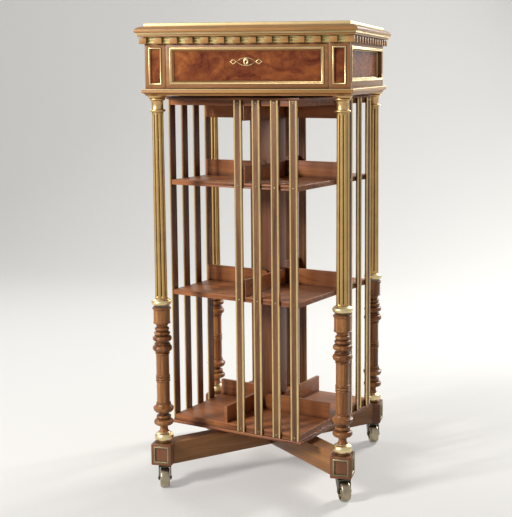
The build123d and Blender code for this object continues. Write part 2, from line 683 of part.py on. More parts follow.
with BuildSketch(Plane.YZ) as base_section:
    with BuildLine():
        cove = SagittaArc(
            (-CARCASS_OUT, BASE_BOTTOM), (-BASE_NOSE_OUT, BASE_BOTTOM + BASE_COVE), -BASE_COVE_DEPTH
        )
        Polyline(
            cove @ 1,
            (-BASE_NOSE_OUT, BASE_LINE_BOTTOM),
            (-BASE_LINE_INNER, BASE_LINE_BOTTOM),
            (-BASE_LINE_INNER, BASE_TOP),
            (-GUIDE_INNER_OUT, BASE_TOP),
            (-GUIDE_INNER_OUT, BASE_BOTTOM),
            cove @ 0,
        )
    make_face()

base_lengths = four_mitred(base_section.sketch)
with BuildPart() as base_moulding:
    add(base_lengths)
base_moulding.part.label = "base_moulding"
export_step(base_moulding.part, "parts/base_moulding.step")

with BuildPart() as bottom_board:
    with BuildSketch(Plane.XY.offset(BOARD_BOTTOM)):
        Rectangle(2 * GUIDE_INNER_OUT, 2 * GUIDE_INNER_OUT)
    extrude(amount=BOTTOM_BOARD)
bottom_board.part.label = "bottom_board"
export_step(bottom_board.part, "parts/bottom_board.step")

# Carcass: posts, rails and panels
POST_MIDDLE = CARCASS_OUT - POST_WIDTH / 2
PILASTER_CENTRES = (-POST_MIDDLE, POST_MIDDLE)

POST_DEPTHS = (POST_DEPTH / 2 - CARCASS_OUT, CARCASS_OUT - POST_DEPTH / 2)
with BuildPart() as corner_posts:
    with BuildSketch(Plane.XY.offset(BASE_TOP)):
        with Locations(*((x, y) for x in PILASTER_CENTRES for y in POST_DEPTHS)):
            Rectangle(POST_WIDTH, POST_DEPTH)
    extrude(amount=TOP_BOTTOM - BASE_TOP)
    for face in (front(CARCASS_OUT, FIELD_LEVEL), back(CARCASS_OUT, FIELD_LEVEL)):
        with BuildSketch(face):
            with Locations(*((x, 0) for x in PILASTER_CENTRES)):
                Rectangle(PILASTER_FIELD_WIDTH, PILASTER_FIELD_HEIGHT)
        extrude(amount=-PILASTER_SINK - VENEER, mode=Mode.SUBTRACT)
corner_posts.part.label = "corner_posts"
export_step(corner_posts.part, "parts/corner_posts.step")

SIDE_RAIL_OUT = CARCASS_OUT - RAIL_DEPTH / 2
SIDE_PANEL_BOTTOM = BASE_TOP + SIDE_BOTTOM_RAIL
SIDE_PANEL_TOP = SIDE_PANEL_BOTTOM + SIDE_PANEL_HEIGHT
BOLT_OUT = CARCASS_OUT - DRAWER_FRONT - LOCK_DEPTH / 2

with BuildPart() as carcass_rails:
    for bottom, top in ((BASE_TOP, SIDE_PANEL_BOTTOM), (SIDE_PANEL_TOP, TOP_BOTTOM)):
        with BuildSketch(Plane.XY.offset(bottom)):
            with Locations((-SIDE_RAIL_OUT, 0), (SIDE_RAIL_OUT, 0)):
                Rectangle(RAIL_DEPTH, 2 * SIDE_PANEL_OUT)
        extrude(amount=top - bottom)
    with BuildSketch(Plane.XY.offset(DRAWER_OPENING_TOP)):
        with Locations((0, -CARCASS_OUT)):
            Rectangle(2 * OPENING_OUT, FRONT_RAIL_DEPTH, align=(Align.CENTER, Align.MIN))
        with Locations((0, CARCASS_OUT)):
            Rectangle(2 * OPENING_OUT, RAIL_DEPTH, align=(Align.CENTER, Align.MAX))
    extrude(amount=TOP_BOTTOM - DRAWER_OPENING_TOP)
    with BuildSketch(Plane.XY.offset(DRAWER_OPENING_TOP)):
        with Locations((0, -BOLT_OUT)):
            Rectangle(BOLT_WIDTH + 2 * SLIDE_GAP, BOLT_DEPTH + 2 * SLIDE_GAP)
    extrude(amount=BOLT_TRAVEL, mode=Mode.SUBTRACT)
carcass_rails.part.label = "carcass_rails"
export_step(carcass_rails.part, "parts/carcass_rails.step")

with BuildPart() as side_panels:
    for right in (-1, 1):
        with BuildSketch(side_face(PANEL_FACE_OUT, SIDE_PANEL_BOTTOM, right)):
            Rectangle(2 * SIDE_PANEL_OUT, SIDE_PANEL_HEIGHT, align=(Align.CENTER, Align.MIN))
        extrude(amount=-PANEL_BOARD)
side_panels.part.label = "side_panels"
export_step(side_panels.part, "parts/side_panels.step")

with BuildPart() as back_panel:
    with BuildSketch(back(CARCASS_OUT, BASE_TOP)):
        Rectangle(2 * OPENING_OUT, DRAWER_OPENING_HEIGHT, align=(Align.CENTER, Align.MIN))
    extrude(amount=-DRAWER_FRONT)
    with BuildSketch(back(CARCASS_OUT, FIELD_LEVEL)):
        Rectangle(FIELD_WIDTH, FIELD_HEIGHT)
    extrude(amount=-FIELD_SINK - VENEER, mode=Mode.SUBTRACT)
back_panel.part.label = "back_panel"
export_step(back_panel.part, "parts/back_panel.step")

# Burr panels let into the pilasters and the back
with BuildPart() as burr_panels:
    for face in (front(CARCASS_OUT, FIELD_LEVEL), back(CARCASS_OUT, FIELD_LEVEL)):
        with BuildSketch(face.offset(-PILASTER_SINK - VENEER)):
            with Locations(*((x, 0) for x in PILASTER_CENTRES)):
                Rectangle(PILASTER_FIELD_WIDTH, PILASTER_FIELD_HEIGHT)
        extrude(amount=VENEER)
    with BuildSketch(back(CARCASS_OUT - FIELD_SINK - VENEER, FIELD_LEVEL)):
        Rectangle(FIELD_WIDTH, FIELD_HEIGHT)
    extrude(amount=VENEER)
burr_panels.part.label = "burr_panels"
export_step(burr_panels.part, "parts/burr_panels.step")

# Brass frames of the pilasters, the back and the sides
pilaster_frames = [
    field_frame(
        face, PILASTER_FIELD_WIDTH, PILASTER_FIELD_HEIGHT, PILASTER_MOULDING, MOULDING_PROUD, PILASTER_SINK,
        PILASTER_BEVEL,
    )
    for x in PILASTER_CENTRES
    for face in (front(CARCASS_OUT, FIELD_LEVEL, x), back(CARCASS_OUT, FIELD_LEVEL, x))
]
back_frame = field_frame(
    back(CARCASS_OUT, FIELD_LEVEL), FIELD_WIDTH, FIELD_HEIGHT, FIELD_MOULDING, MOULDING_PROUD, FIELD_SINK,
    FIELD_BEVEL,
)
SIDE_PANEL_MIDDLE = (SIDE_PANEL_BOTTOM + SIDE_PANEL_TOP) / 2
with BuildPart() as panel_frames:
    add(pilaster_frames)
    add(back_frame)
    for right in (-1, 1):
        with BuildSketch(side_face(CARCASS_OUT, SIDE_PANEL_MIDDLE, right)):
            Rectangle(2 * (SIDE_PANEL_OUT + SIDE_MOULDING), SIDE_PANEL_HEIGHT + 2 * SIDE_MOULDING)
            Rectangle(2 * SIDE_PANEL_OUT, SIDE_PANEL_HEIGHT, mode=Mode.SUBTRACT)
        extrude(amount=MOULDING_PROUD)
        with BuildSketch(side_face(PANEL_FACE_OUT, SIDE_PANEL_MIDDLE, right)):
            Rectangle(2 * SIDE_PANEL_OUT, SIDE_PANEL_HEIGHT)
            Rectangle(
                2 * (SIDE_PANEL_OUT - INNER_BEAD), SIDE_PANEL_HEIGHT - 2 * INNER_BEAD, mode=Mode.SUBTRACT
            )
        extrude(amount=INNER_BEAD)
panel_frames.part.label = "panel_frames"
export_step(panel_frames.part, "parts/panel_frames.step")

GUIDE_MIDDLE = GUIDE_INNER_OUT + GUIDE_WIDTH / 2
with BuildPart() as drawer_guides:
    with BuildSketch(Plane.XY.offset(BASE_TOP)):
        with Locations((-GUIDE_MIDDLE, 0), (GUIDE_MIDDLE, 0)):
            Rectangle(GUIDE_WIDTH, 2 * SIDE_PANEL_OUT)
    extrude(amount=GUIDE_HEIGHT)
drawer_guides.part.label = "drawer_guides"
export_step(drawer_guides.part, "parts/drawer_guides.step")

# Dentil course
DENTIL_FACE_OUT = CARCASS_OUT + DENTIL_BACKING
backing_lengths = mitred_bars(CARCASS_OUT, DENTIL_FACE_OUT, DENTIL_BOTTOM, STEP_BOTTOM)
with BuildPart() as dentil_backing:
    add(backing_lengths)
dentil_backing.part.label = "dentil_backing"
export_step(dentil_backing.part, "parts/dentil_backing.step")

DENTIL_OUT = DENTIL_FACE_OUT + DENTIL_DEPTH
DENTIL_PITCH = (2 * DENTIL_OUT - DENTIL_WIDTH) / (DENTILS_PER_SIDE - 1)
DENTIL_ENDS = [DENTIL_OUT - count * DENTIL_PITCH for count in range(DENTILS_PER_SIDE - 1)]
with BuildPart() as dentils:
    with BuildSketch(Plane.XY.offset(DENTIL_BOTTOM)):
        with PolarLocations(0, 4):
            with Locations(*((end, -DENTIL_OUT) for end in DENTIL_ENDS)):
                Rectangle(DENTIL_WIDTH, DENTIL_WIDTH, align=(Align.MAX, Align.MIN))
        Rectangle(2 * DENTIL_FACE_OUT, 2 * DENTIL_FACE_OUT, mode=Mode.SUBTRACT)
    extrude(amount=DENTIL_HEIGHT)
dentils.part.label = "dentils"
export_step(dentils.part, "parts/dentils.step")

# Step, nosing and board of the top, with the brass lines between them
NOSING_INNER_OUT = TOP_OUT - NOSING_DEPTH
with BuildSketch(Plane.YZ) as nosing_section:
    with BuildLine():
        ovolo = SagittaArc(
            (-TOP_OUT, TOP_BOTTOM + NOSING_FACE), (-TOP_OUT + NOSING_SLOPE, NOSING_TOP), NOSING_SWELL
        )
        Polyline(
            ovolo @ 1,
            (-NOSING_INNER_OUT, NOSING_TOP),
            (-NOSING_INNER_OUT, TOP_BOTTOM),
            (-TOP_OUT + NOSING_CHAMFER, TOP_BOTTOM),
            (-TOP_OUT, TOP_BOTTOM + NOSING_CHAMFER),
            ovolo @ 0,
        )
    make_face()

step_lengths = mitred_bars(CARCASS_OUT, CARCASS_OUT + STEP_OVERHANG, STEP_BOTTOM, TOP_LINE_BOTTOM)
nosing_lengths = four_mitred(nosing_section.sketch)
with BuildPart() as cornice_mouldings:
    add([step_lengths, nosing_lengths])
cornice_mouldings.part.label = "cornice_mouldings"
export_step(cornice_mouldings.part, "parts/cornice_mouldings.step")

base_line = mitred_bars(BASE_LINE_INNER, BASE_NOSE_OUT, BASE_LINE_BOTTOM, BASE_TOP)
top_line = mitred_bars(CARCASS_OUT, CARCASS_OUT + TOP_LINE_OVERHANG, TOP_LINE_BOTTOM, TOP_BOTTOM)
with BuildPart() as brass_lines:
    add([base_line, top_line])
brass_lines.part.label = "brass_lines"
export_step(brass_lines.part, "parts/brass_lines.step")

FILLET_INNER_OUT = NOSING_INNER_OUT - TOP_FILLET_DEPTH
fillet_lengths = mitred_bars(FILLET_INNER_OUT, NOSING_INNER_OUT, NOSING_TOP, TOP)
with BuildPart() as top_fillet:
    add(fillet_lengths)
top_fillet.part.label = "top_fillet"
export_step(top_fillet.part, "parts/top_fillet.step")

with BuildPart() as top_board:
    with BuildSketch(Plane.XY.offset(TOP_BOTTOM)):
        Rectangle(2 * NOSING_INNER_OUT, 2 * NOSING_INNER_OUT)
    extrude(amount=NOSING_HEIGHT)
    with BuildSketch(Plane.XY.offset(NOSING_TOP)):
        Rectangle(2 * FILLET_INNER_OUT, 2 * FILLET_INNER_OUT)
    extrude(amount=TOP_FILLET_HEIGHT)
top_board.part.label = "top_board"
export_step(top_board.part, "parts/top_board.step")

# Drawer
FRONT_OUT = OPENING_OUT - DRAWER_GAP
FRONT_BOTTOM = BASE_TOP + DRAWER_GAP
FRONT_TOP = DRAWER_OPENING_TOP - DRAWER_GAP
FRONT_BACK_OUT = CARCASS_OUT - DRAWER_FRONT
BOX_OUT = GUIDE_INNER_OUT - SLIDE_GAP
BOX_INNER_OUT = BOX_OUT - DRAWER_SIDE
BOX_BOTTOM = BASE_TOP + DRAWER_LIFT
BOX_BACK_OUT = FRONT_BACK_OUT - DRAWER_BACK_GAP
KEYHOLE_LEVEL = FIELD_LEVEL + ESCUTCHEON_LIFT
LOCK_TOP = FRONT_TOP - LOCK_TOP_GAP

with BuildSketch() as keyhole:
    Circle(KEYHOLE_RADIUS)
    Rectangle(KEY_SLOT_WIDTH, KEY_SLOT_LENGTH, align=(Align.CENTER, Align.MAX))

with BuildPart() as drawer_front:
    with BuildSketch(front(CARCASS_OUT, FRONT_BOTTOM)):
        Rectangle(2 * FRONT_OUT, FRONT_TOP - FRONT_BOTTOM, align=(Align.CENTER, Align.MIN))
    extrude(amount=-DRAWER_FRONT)
    with BuildSketch(front(CARCASS_OUT, FIELD_LEVEL)):
        Rectangle(FIELD_WIDTH, FIELD_HEIGHT)
    extrude(amount=-FIELD_SINK - VENEER, mode=Mode.SUBTRACT)
    with BuildSketch(front(CARCASS_OUT, KEYHOLE_LEVEL)):
        add(keyhole.sketch)
    extrude(amount=-DRAWER_FRONT, mode=Mode.SUBTRACT)
drawer_front.part.label = "drawer_front"
export_step(drawer_front.part, "parts/drawer_front.step")

with BuildPart() as drawer_panel:
    with BuildSketch(front(FIELD_OUT, FIELD_LEVEL)):
        Rectangle(FIELD_WIDTH, FIELD_HEIGHT)
        with Locations((0, ESCUTCHEON_LIFT)):
            add(keyhole.sketch, mode=Mode.SUBTRACT)
    extrude(amount=-VENEER)
drawer_panel.part.label = "drawer_panel"
export_step(drawer_panel.part, "parts/drawer_panel.step")

drawer_bars = field_frame(
    front(CARCASS_OUT, FIELD_LEVEL), FIELD_WIDTH, FIELD_HEIGHT, FIELD_MOULDING, MOULDING_PROUD, FIELD_SINK,
    FIELD_BEVEL,
)
with BuildPart() as drawer_frame:
    add(drawer_bars)
drawer_frame.part.label = "drawer_frame"
export_step(drawer_frame.part, "parts/drawer_frame.step")

# Pierced escutcheon: a pointed lens round a keyhole shield, with a lozenge at each end
with BuildPart() as escutcheon:
    with BuildSketch(front(FIELD_OUT, KEYHOLE_LEVEL)):
        for length, height, mode in (
            (LENS_LENGTH, LENS_HEIGHT, Mode.ADD),
            (LENS_LENGTH - 2 * LENS_TIP, LENS_HEIGHT - 2 * LENS_RIM, Mode.SUBTRACT),
        ):
            with BuildLine():
                ThreePointArc((-length / 2, 0), (0, height / 2), (length / 2, 0))
                ThreePointArc((length / 2, 0), (0, -height / 2), (-length / 2, 0))
            make_face(mode=mode)
        Ellipse(SHIELD_WIDTH / 2, SHIELD_HEIGHT / 2)
        add(keyhole.sketch, mode=Mode.SUBTRACT)
        for length, height, mode in (
            (LOZENGE_LENGTH, LOZENGE_HEIGHT, Mode.ADD),
            (LOZENGE_HOLE_LENGTH, LOZENGE_HOLE_HEIGHT, Mode.SUBTRACT),
        ):
            with Locations((-LOZENGE_CENTRE, 0), (LOZENGE_CENTRE, 0)):
                Polygon((-length / 2, 0), (0, -height / 2), (length / 2, 0), (0, height / 2), mode=mode)
    extrude(amount=ESCUTCHEON)
escutcheon.part.label = "escutcheon"
export_step(escutcheon.part, "parts/escutcheon.step")

SIDE_MIDDLE = BOX_OUT - DRAWER_SIDE / 2
with BuildPart() as drawer_sides:
    with BuildSketch(Plane.XY.offset(BOX_BOTTOM)):
        with Locations((-SIDE_MIDDLE, -FRONT_BACK_OUT), (SIDE_MIDDLE, -FRONT_BACK_OUT)):
            Rectangle(DRAWER_SIDE, FRONT_BACK_OUT + BOX_BACK_OUT, align=(Align.CENTER, Align.MIN))
    extrude(amount=DRAWER_SIDE_HEIGHT)
drawer_sides.part.label = "drawer_sides"
export_step(drawer_sides.part, "parts/drawer_sides.step")

with BuildPart() as drawer_back:
    with BuildSketch(Plane.XY.offset(BOX_BOTTOM)):
        with Locations((0, BOX_BACK_OUT)):
            Rectangle(2 * BOX_INNER_OUT, DRAWER_SIDE, align=(Align.CENTER, Align.MAX))
    extrude(amount=DRAWER_SIDE_HEIGHT - DRAWER_BACK_DROP)
drawer_back.part.label = "drawer_back"
export_step(drawer_back.part, "parts/drawer_back.step")

with BuildPart() as drawer_bottom:
    with BuildSketch(Plane.XY.offset(BOX_BOTTOM + DRAWER_BOTTOM_LIFT)):
        with Locations((0, -FRONT_BACK_OUT)):
            Rectangle(
                2 * BOX_INNER_OUT,
                FRONT_BACK_OUT + BOX_BACK_OUT - DRAWER_SIDE,
                align=(Align.CENTER, Align.MIN),
            )
    extrude(amount=DRAWER_BOTTOM)
drawer_bottom.part.label = "drawer_bottom"
export_step(drawer_bottom.part, "parts/drawer_bottom.step")

# Lock, with a bolt that rises into the rail over the drawer
with BuildPart() as drawer_lock:
    with BuildSketch(front(FRONT_BACK_OUT, LOCK_TOP)):
        Rectangle(LOCK_WIDTH, LOCK_HEIGHT, align=(Align.CENTER, Align.MAX))
    extrude(amount=-LOCK_DEPTH)
    with BuildSketch(Plane.XY.offset(LOCK_TOP)):
        with Locations((0, -BOLT_OUT)):
            Rectangle(BOLT_WIDTH + 2 * BOLT_GAP, BOLT_DEPTH + 2 * BOLT_GAP)
    extrude(amount=-BOLT_LENGTH - BOLT_GAP, mode=Mode.SUBTRACT)
    with BuildSketch(front(FRONT_BACK_OUT, KEYHOLE_LEVEL)):
        add(keyhole.sketch)
    extrude(amount=-KEY_DEPTH, mode=Mode.SUBTRACT)
drawer_lock.part.label = "drawer_lock"
export_step(drawer_lock.part, "parts/drawer_lock.step")

with BuildPart() as lock_bolt:
    with BuildSketch(Plane.XY.offset(LOCK_TOP)):
        with Locations((0, -BOLT_OUT)):
            Rectangle(BOLT_WIDTH, BOLT_DEPTH)
    extrude(amount=-BOLT_LENGTH)
lock_bolt.part.label = "lock_bolt"
export_step(lock_bolt.part, "parts/lock_bolt.step")

# Turning book case: centre post and shelves
with BuildPart() as centre_post:
    with BuildSketch(Plane.XY.offset(CASE_BOTTOM)):
        Rectangle(POST_SIDE, POST_SIDE, rotation=CASE_TURN)
    extrude(amount=CASE_TOP - CASE_BOTTOM)
    with BuildSketch(Plane.XY.offset(CASE_BOTTOM)):
        Circle(SPINDLE_BUSH_RADIUS + GLUE_CLEARANCE)
    extrude(amount=SPINDLE_TOP + BORE_SPARE - CASE_BOTTOM, mode=Mode.SUBTRACT)
    with BuildSketch(Plane.XY.offset(CASE_TOP)):
        Circle(PIN_BUSH_RADIUS + GLUE_CLEARANCE)
    extrude(amount=TOP_PIN_BOTTOM - BORE_SPARE - CASE_TOP, mode=Mode.SUBTRACT)
centre_post.part.label = "centre_post"
export_step(centre_post.part, "parts/centre_post.step")

SLAT_CENTRES = [SLAT_FIRST + count * SLAT_PITCH for count in range(SLATS_PER_SIDE)]
NAIL_LEVELS = (
    CASE_EDGE_TOP + CASE_BOARD / 2,
    MIDDLE_SHELF_BOTTOM + SHELF / 2,
    UPPER_SHELF_BOTTOM + SHELF / 2,
    TOP_SHELF_BOTTOM + CASE_BOARD / 2,
)
SLAT_FACE_OUT = CASE_OUT + SLAT


def nail_holes(levels):
    """Holes of the nails at the given levels, on all four sides of the turned case."""
    with BuildPart() as side:
        with BuildSketch(front(SLAT_FACE_OUT)):
            with Locations(*((centre, level) for centre in SLAT_CENTRES for level in levels)):
                Circle(NAIL_SHANK_RADIUS + NAIL_CLEARANCE)
        extrude(amount=-NAIL_SHANK)
    with BuildPart() as sides:
        with PolarLocations(0, 4, start_angle=CASE_TURN):
            add(side.part)
    return sides.part


EDGE_WIDTH = CASE_WIDTH + 2 * CASE_EDGE_OVERHANG
for name, bottom, thickness, edge_bottom, edge_thickness in (
    ("bottom_shelf", CASE_EDGE_TOP, CASE_BOARD, CASE_BOTTOM, CASE_EDGE),
    ("middle_shelf", MIDDLE_SHELF_BOTTOM, SHELF, None, None),
    ("upper_shelf", UPPER_SHELF_BOTTOM, SHELF, None, None),
    ("top_shelf", TOP_SHELF_BOTTOM, CASE_BOARD, SLAT_TOP, CASE_TOP_EDGE),
):
    holes = nail_holes([bottom + thickness / 2])
    with BuildPart() as shelf:
        if edge_thickness:
            with BuildSketch(Plane.XY.offset(edge_bottom)):
                Rectangle(EDGE_WIDTH, EDGE_WIDTH, rotation=CASE_TURN)
            extrude(amount=edge_thickness)
            rims = shelf.faces().sort_by(Axis.Z)
            fillet(rims[0].edges() + rims[-1].edges(), CASE_EDGE_ROUNDING)
        with BuildSketch(Plane.XY.offset(bottom)):
            Rectangle(CASE_WIDTH, CASE_WIDTH, rotation=CASE_TURN)
        extrude(amount=thickness)
        with BuildSketch(Plane.XY.offset(CASE_BOTTOM)):
            Rectangle(POST_SIDE, POST_SIDE, rotation=CASE_TURN)
        extrude(amount=CASE_TOP - CASE_BOTTOM, mode=Mode.SUBTRACT)
        add(holes, mode=Mode.SUBTRACT)
    shelf.part.label = name
    export_step(shelf.part, "parts/" + name + ".step")

# Slats on half of each side, with brass beads on both edges and nails at every shelf
SLAT_WOOD = SLAT_WIDTH - 2 * SLAT_BEAD_WIDTH

slat_holes = nail_holes(NAIL_LEVELS)
with BuildPart() as slats:
    with BuildSketch(Plane.XY.offset(CASE_EDGE_TOP)):
        with PolarLocations(0, 4, start_angle=CASE_TURN):
            with Locations(*((centre, -CASE_OUT) for centre in SLAT_CENTRES)):
                Rectangle(SLAT_WOOD, SLAT, align=(Align.CENTER, Align.MAX))
    extrude(amount=SLAT_TOP - CASE_EDGE_TOP)
    add(slat_holes, mode=Mode.SUBTRACT)
slats.part.label = "slats"
export_step(slats.part, "parts/slats.step")

BEAD_OFFSET = (SLAT_WOOD + SLAT_BEAD_WIDTH) / 2
BEAD_CENTRES = [centre + edge * BEAD_OFFSET for centre in SLAT_CENTRES for edge in (-1, 1)]
with BuildPart() as slat_beads:
    with BuildSketch(Plane.XY.offset(CASE_EDGE_TOP)):
        with PolarLocations(0, 4, start_angle=CASE_TURN):
            with Locations(*((centre, -CASE_OUT) for centre in BEAD_CENTRES)):
                Rectangle(SLAT_BEAD_WIDTH, SLAT_BEAD, align=(Align.CENTER, Align.MAX))
    extrude(amount=SLAT_TOP - CASE_EDGE_TOP)
slat_beads.part.label = "slat_beads"
export_step(slat_beads.part, "parts/slat_beads.step")

with BuildPart() as slat_nail:
    with BuildSketch():
        Circle(NAIL_HEAD_RADIUS)
    extrude(amount=NAIL_HEAD)
    fillet(slat_nail.edges().sort_by(Axis.Z)[-1], NAIL_HEAD_ROUNDING)
    with BuildSketch():
        Circle(NAIL_SHANK_RADIUS)
    extrude(amount=-NAIL_SHANK)

NAIL_PLANES = [front(SLAT_FACE_OUT, level, centre) for centre in SLAT_CENTRES for level in NAIL_LEVELS]
with BuildPart() as side_nails:
    with Locations(*(plane.location for plane in NAIL_PLANES)):
        add(slat_nail.part)

with BuildPart() as slat_nails:
    with PolarLocations(0, 4, start_angle=CASE_TURN):
        add(side_nails.part)
slat_nails.part.label = "slat_nails"
export_step(slat_nails.part, "parts/slat_nails.step")

# Book stops along the post: before it on the bottom shelf, behind it on the two others and under the top
STOP_BEFORE_POST = POST_SIDE / 2 + STOP_THICKNESS
STOP_BEHIND_POST = -POST_SIDE / 2
STOP_OUTER_END = CASE_OUT - STOP_END_GAP


def book_stop(out, bottom, height, rounded_level):
    """One upright board with its face this far out, its inner corner at rounded_level cut round."""
    with BuildPart() as stop:
        with BuildSketch(front(out, bottom)):
            with Locations((STOP_OUTER_END, 0)):
                Rectangle(STOP_LENGTH, height, align=(Align.MAX, Align.MIN))
        extrude(amount=-STOP_THICKNESS)
        inner = stop.edges().filter_by(Axis.Y).group_by(Axis.X)[0]
        fillet(inner.sort_by(lambda edge: abs(edge.center().Z - rounded_level))[0], STOP_ROUNDING)
    return stop.part


standing_stops = [
    book_stop(out, shelf_top, STOP_HEIGHT, shelf_top + STOP_HEIGHT)
    for out, shelf_top in (
        (STOP_BEFORE_POST, BOTTOM_SHELF_TOP),
        (STOP_BEHIND_POST, MIDDLE_SHELF_TOP),
        (STOP_BEHIND_POST, UPPER_SHELF_TOP),
    )
]
with BuildPart() as book_stops:
    with PolarLocations(0, 4, start_angle=CASE_TURN):
        add(standing_stops)
book_stops.part.label = "book_stops"
export_step(book_stops.part, "parts/book_stops.step")

HANGING_BOTTOM = TOP_SHELF_BOTTOM - HANGING_STOP_HEIGHT
hanging_stop = book_stop(STOP_BEHIND_POST, HANGING_BOTTOM, HANGING_STOP_HEIGHT, HANGING_BOTTOM)
with BuildPart() as hanging_stops:
    with PolarLocations(0, 4, start_angle=CASE_TURN):
        add(hanging_stop)
hanging_stops.part.label = "hanging_stops"
export_step(hanging_stops.part, "parts/hanging_stops.step")

# Pivots: a spindle on the stretchers, a pin under the cabinet, and a flanged bush for each
with BuildPart() as spindle:
    with BuildSketch(Plane.XZ):
        with BuildLine():
            turned = Turning(0, BLOCK_TOP)
            turned.straight(SPINDLE_FLANGE_RADIUS)
            turned.straight(SPINDLE_FLANGE_RADIUS, SPINDLE_FLANGE)
            turned.straight(SPINDLE_COLLAR_RADIUS)
            turned.straight(SPINDLE_COLLAR_RADIUS, CASE_FLOOR_GAP - SPINDLE_FLANGE - BUSH_FLANGE - THRUST_GAP)
            turned.straight(SPINDLE_RADIUS)
            turned.straight(SPINDLE_RADIUS, SPINDLE_LENGTH)
            turned.straight(0)
            Line(turned.point, (0, BLOCK_TOP))
        make_face()
    revolve(axis=Axis.Z)
spindle.part.label = "spindle"
export_step(spindle.part, "parts/spindle.step")

with BuildPart() as top_pivot:
    with BuildSketch(Plane.XY.offset(BOARD_BOTTOM)):
        Circle(TOP_PLATE_RADIUS)
    extrude(amount=BASE_BOTTOM - BOARD_BOTTOM)
    with BuildSketch(Plane.XY.offset(BOARD_BOTTOM)):
        Circle(TOP_PIN_RADIUS)
    extrude(amount=-TOP_PIN_LENGTH)
top_pivot.part.label = "top_pivot"
export_step(top_pivot.part, "parts/top_pivot.step")

with BuildPart() as pivot_bushes:
    for end_face, way, pin_radius, bush_radius in (
        (CASE_BOTTOM, 1, SPINDLE_RADIUS, SPINDLE_BUSH_RADIUS),
        (CASE_TOP, -1, TOP_PIN_RADIUS, PIN_BUSH_RADIUS),
    ):
        with BuildSketch(Plane.XY.offset(end_face)):
            Circle(bush_radius)
            Circle(pin_radius + RUNNING_CLEARANCE, mode=Mode.SUBTRACT)
        extrude(amount=way * BUSH_LENGTH)
        with BuildSketch(Plane.XY.offset(end_face)):
            Circle(BUSH_FLANGE_RADIUS)
            Circle(pin_radius + RUNNING_CLEARANCE, mode=Mode.SUBTRACT)
        extrude(amount=-way * BUSH_FLANGE)
pivot_bushes.part.label = "pivot_bushes"
export_step(pivot_bushes.part, "parts/pivot_bushes.step")
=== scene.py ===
import json
from math import asin, cos, pi, radians, sin, sqrt

import bmesh
import bpy
from mathutils import Matrix, Vector


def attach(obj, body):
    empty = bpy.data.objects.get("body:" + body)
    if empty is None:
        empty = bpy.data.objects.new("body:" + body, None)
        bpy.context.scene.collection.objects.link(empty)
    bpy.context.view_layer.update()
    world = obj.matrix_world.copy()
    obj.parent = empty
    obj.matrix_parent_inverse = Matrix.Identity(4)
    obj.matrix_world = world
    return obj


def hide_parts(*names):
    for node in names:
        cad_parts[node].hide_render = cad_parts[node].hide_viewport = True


# Revolving bookcase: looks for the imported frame. Metres, +Z up, drawer towards -Y.
# Sizes, sections and turned outlines are written in millimetres, as in the part.

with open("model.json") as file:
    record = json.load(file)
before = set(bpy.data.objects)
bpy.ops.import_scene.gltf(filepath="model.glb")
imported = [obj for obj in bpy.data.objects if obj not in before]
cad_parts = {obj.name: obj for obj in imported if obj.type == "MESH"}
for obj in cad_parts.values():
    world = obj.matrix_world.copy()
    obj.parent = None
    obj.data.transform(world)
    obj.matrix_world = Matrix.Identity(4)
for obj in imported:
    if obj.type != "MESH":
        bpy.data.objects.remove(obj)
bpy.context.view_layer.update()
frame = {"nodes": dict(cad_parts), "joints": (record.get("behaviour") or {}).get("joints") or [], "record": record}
NODES = frame["nodes"]
NODE_BODY = {node: body for body, nodes in frame["record"]["behaviour"]["bodies"].items() for node in nodes}

MM = 0.001
CASE_TURN = radians(-17.4)
COLUMN_OUT = 240.0
CORNERS = {
    "front_left": (-COLUMN_OUT, -COLUMN_OUT),
    "front_right": (COLUMN_OUT, -COLUMN_OUT),
    "back_right": (COLUMN_OUT, COLUMN_OUT),
    "back_left": (-COLUMN_OUT, COLUMN_OUT),
}
QUARTERS = [quarter * pi / 2 for quarter in range(4)]

# Camera, fitted to the straight edges of the photograph
IMAGE_WIDTH = 512
IMAGE_HEIGHT = 517
FOCAL_PIXELS = 1142.5
CAMERA_POSITION = (0.7581, -3.0148, 1.0907)
CAMERA_YAW = radians(12.832)
CAMERA_PITCH = radians(-7.436)
CAMERA_ROLL = radians(-0.267)
PRINCIPAL_POINT = (298.0, 220.0)

scene = bpy.context.scene
lens = bpy.data.cameras.new("camera")
lens.sensor_width = 36.0
lens.lens = FOCAL_PIXELS * lens.sensor_width / IMAGE_HEIGHT
lens.shift_x = (IMAGE_WIDTH / 2 - PRINCIPAL_POINT[0]) / IMAGE_HEIGHT
lens.shift_y = (PRINCIPAL_POINT[1] - IMAGE_HEIGHT / 2) / IMAGE_HEIGHT
lens.clip_end = 50.0
camera = bpy.data.objects.new("camera", lens)
camera.matrix_world = (
    Matrix.Translation(CAMERA_POSITION)
    @ Matrix.Rotation(CAMERA_YAW, 4, "Z")
    @ Matrix.Rotation(pi / 2 + CAMERA_PITCH, 4, "X")
    @ Matrix.Rotation(CAMERA_ROLL, 4, "Z")
)
scene.collection.objects.link(camera)
scene.camera = camera
scene.view_settings.view_transform = "Standard"


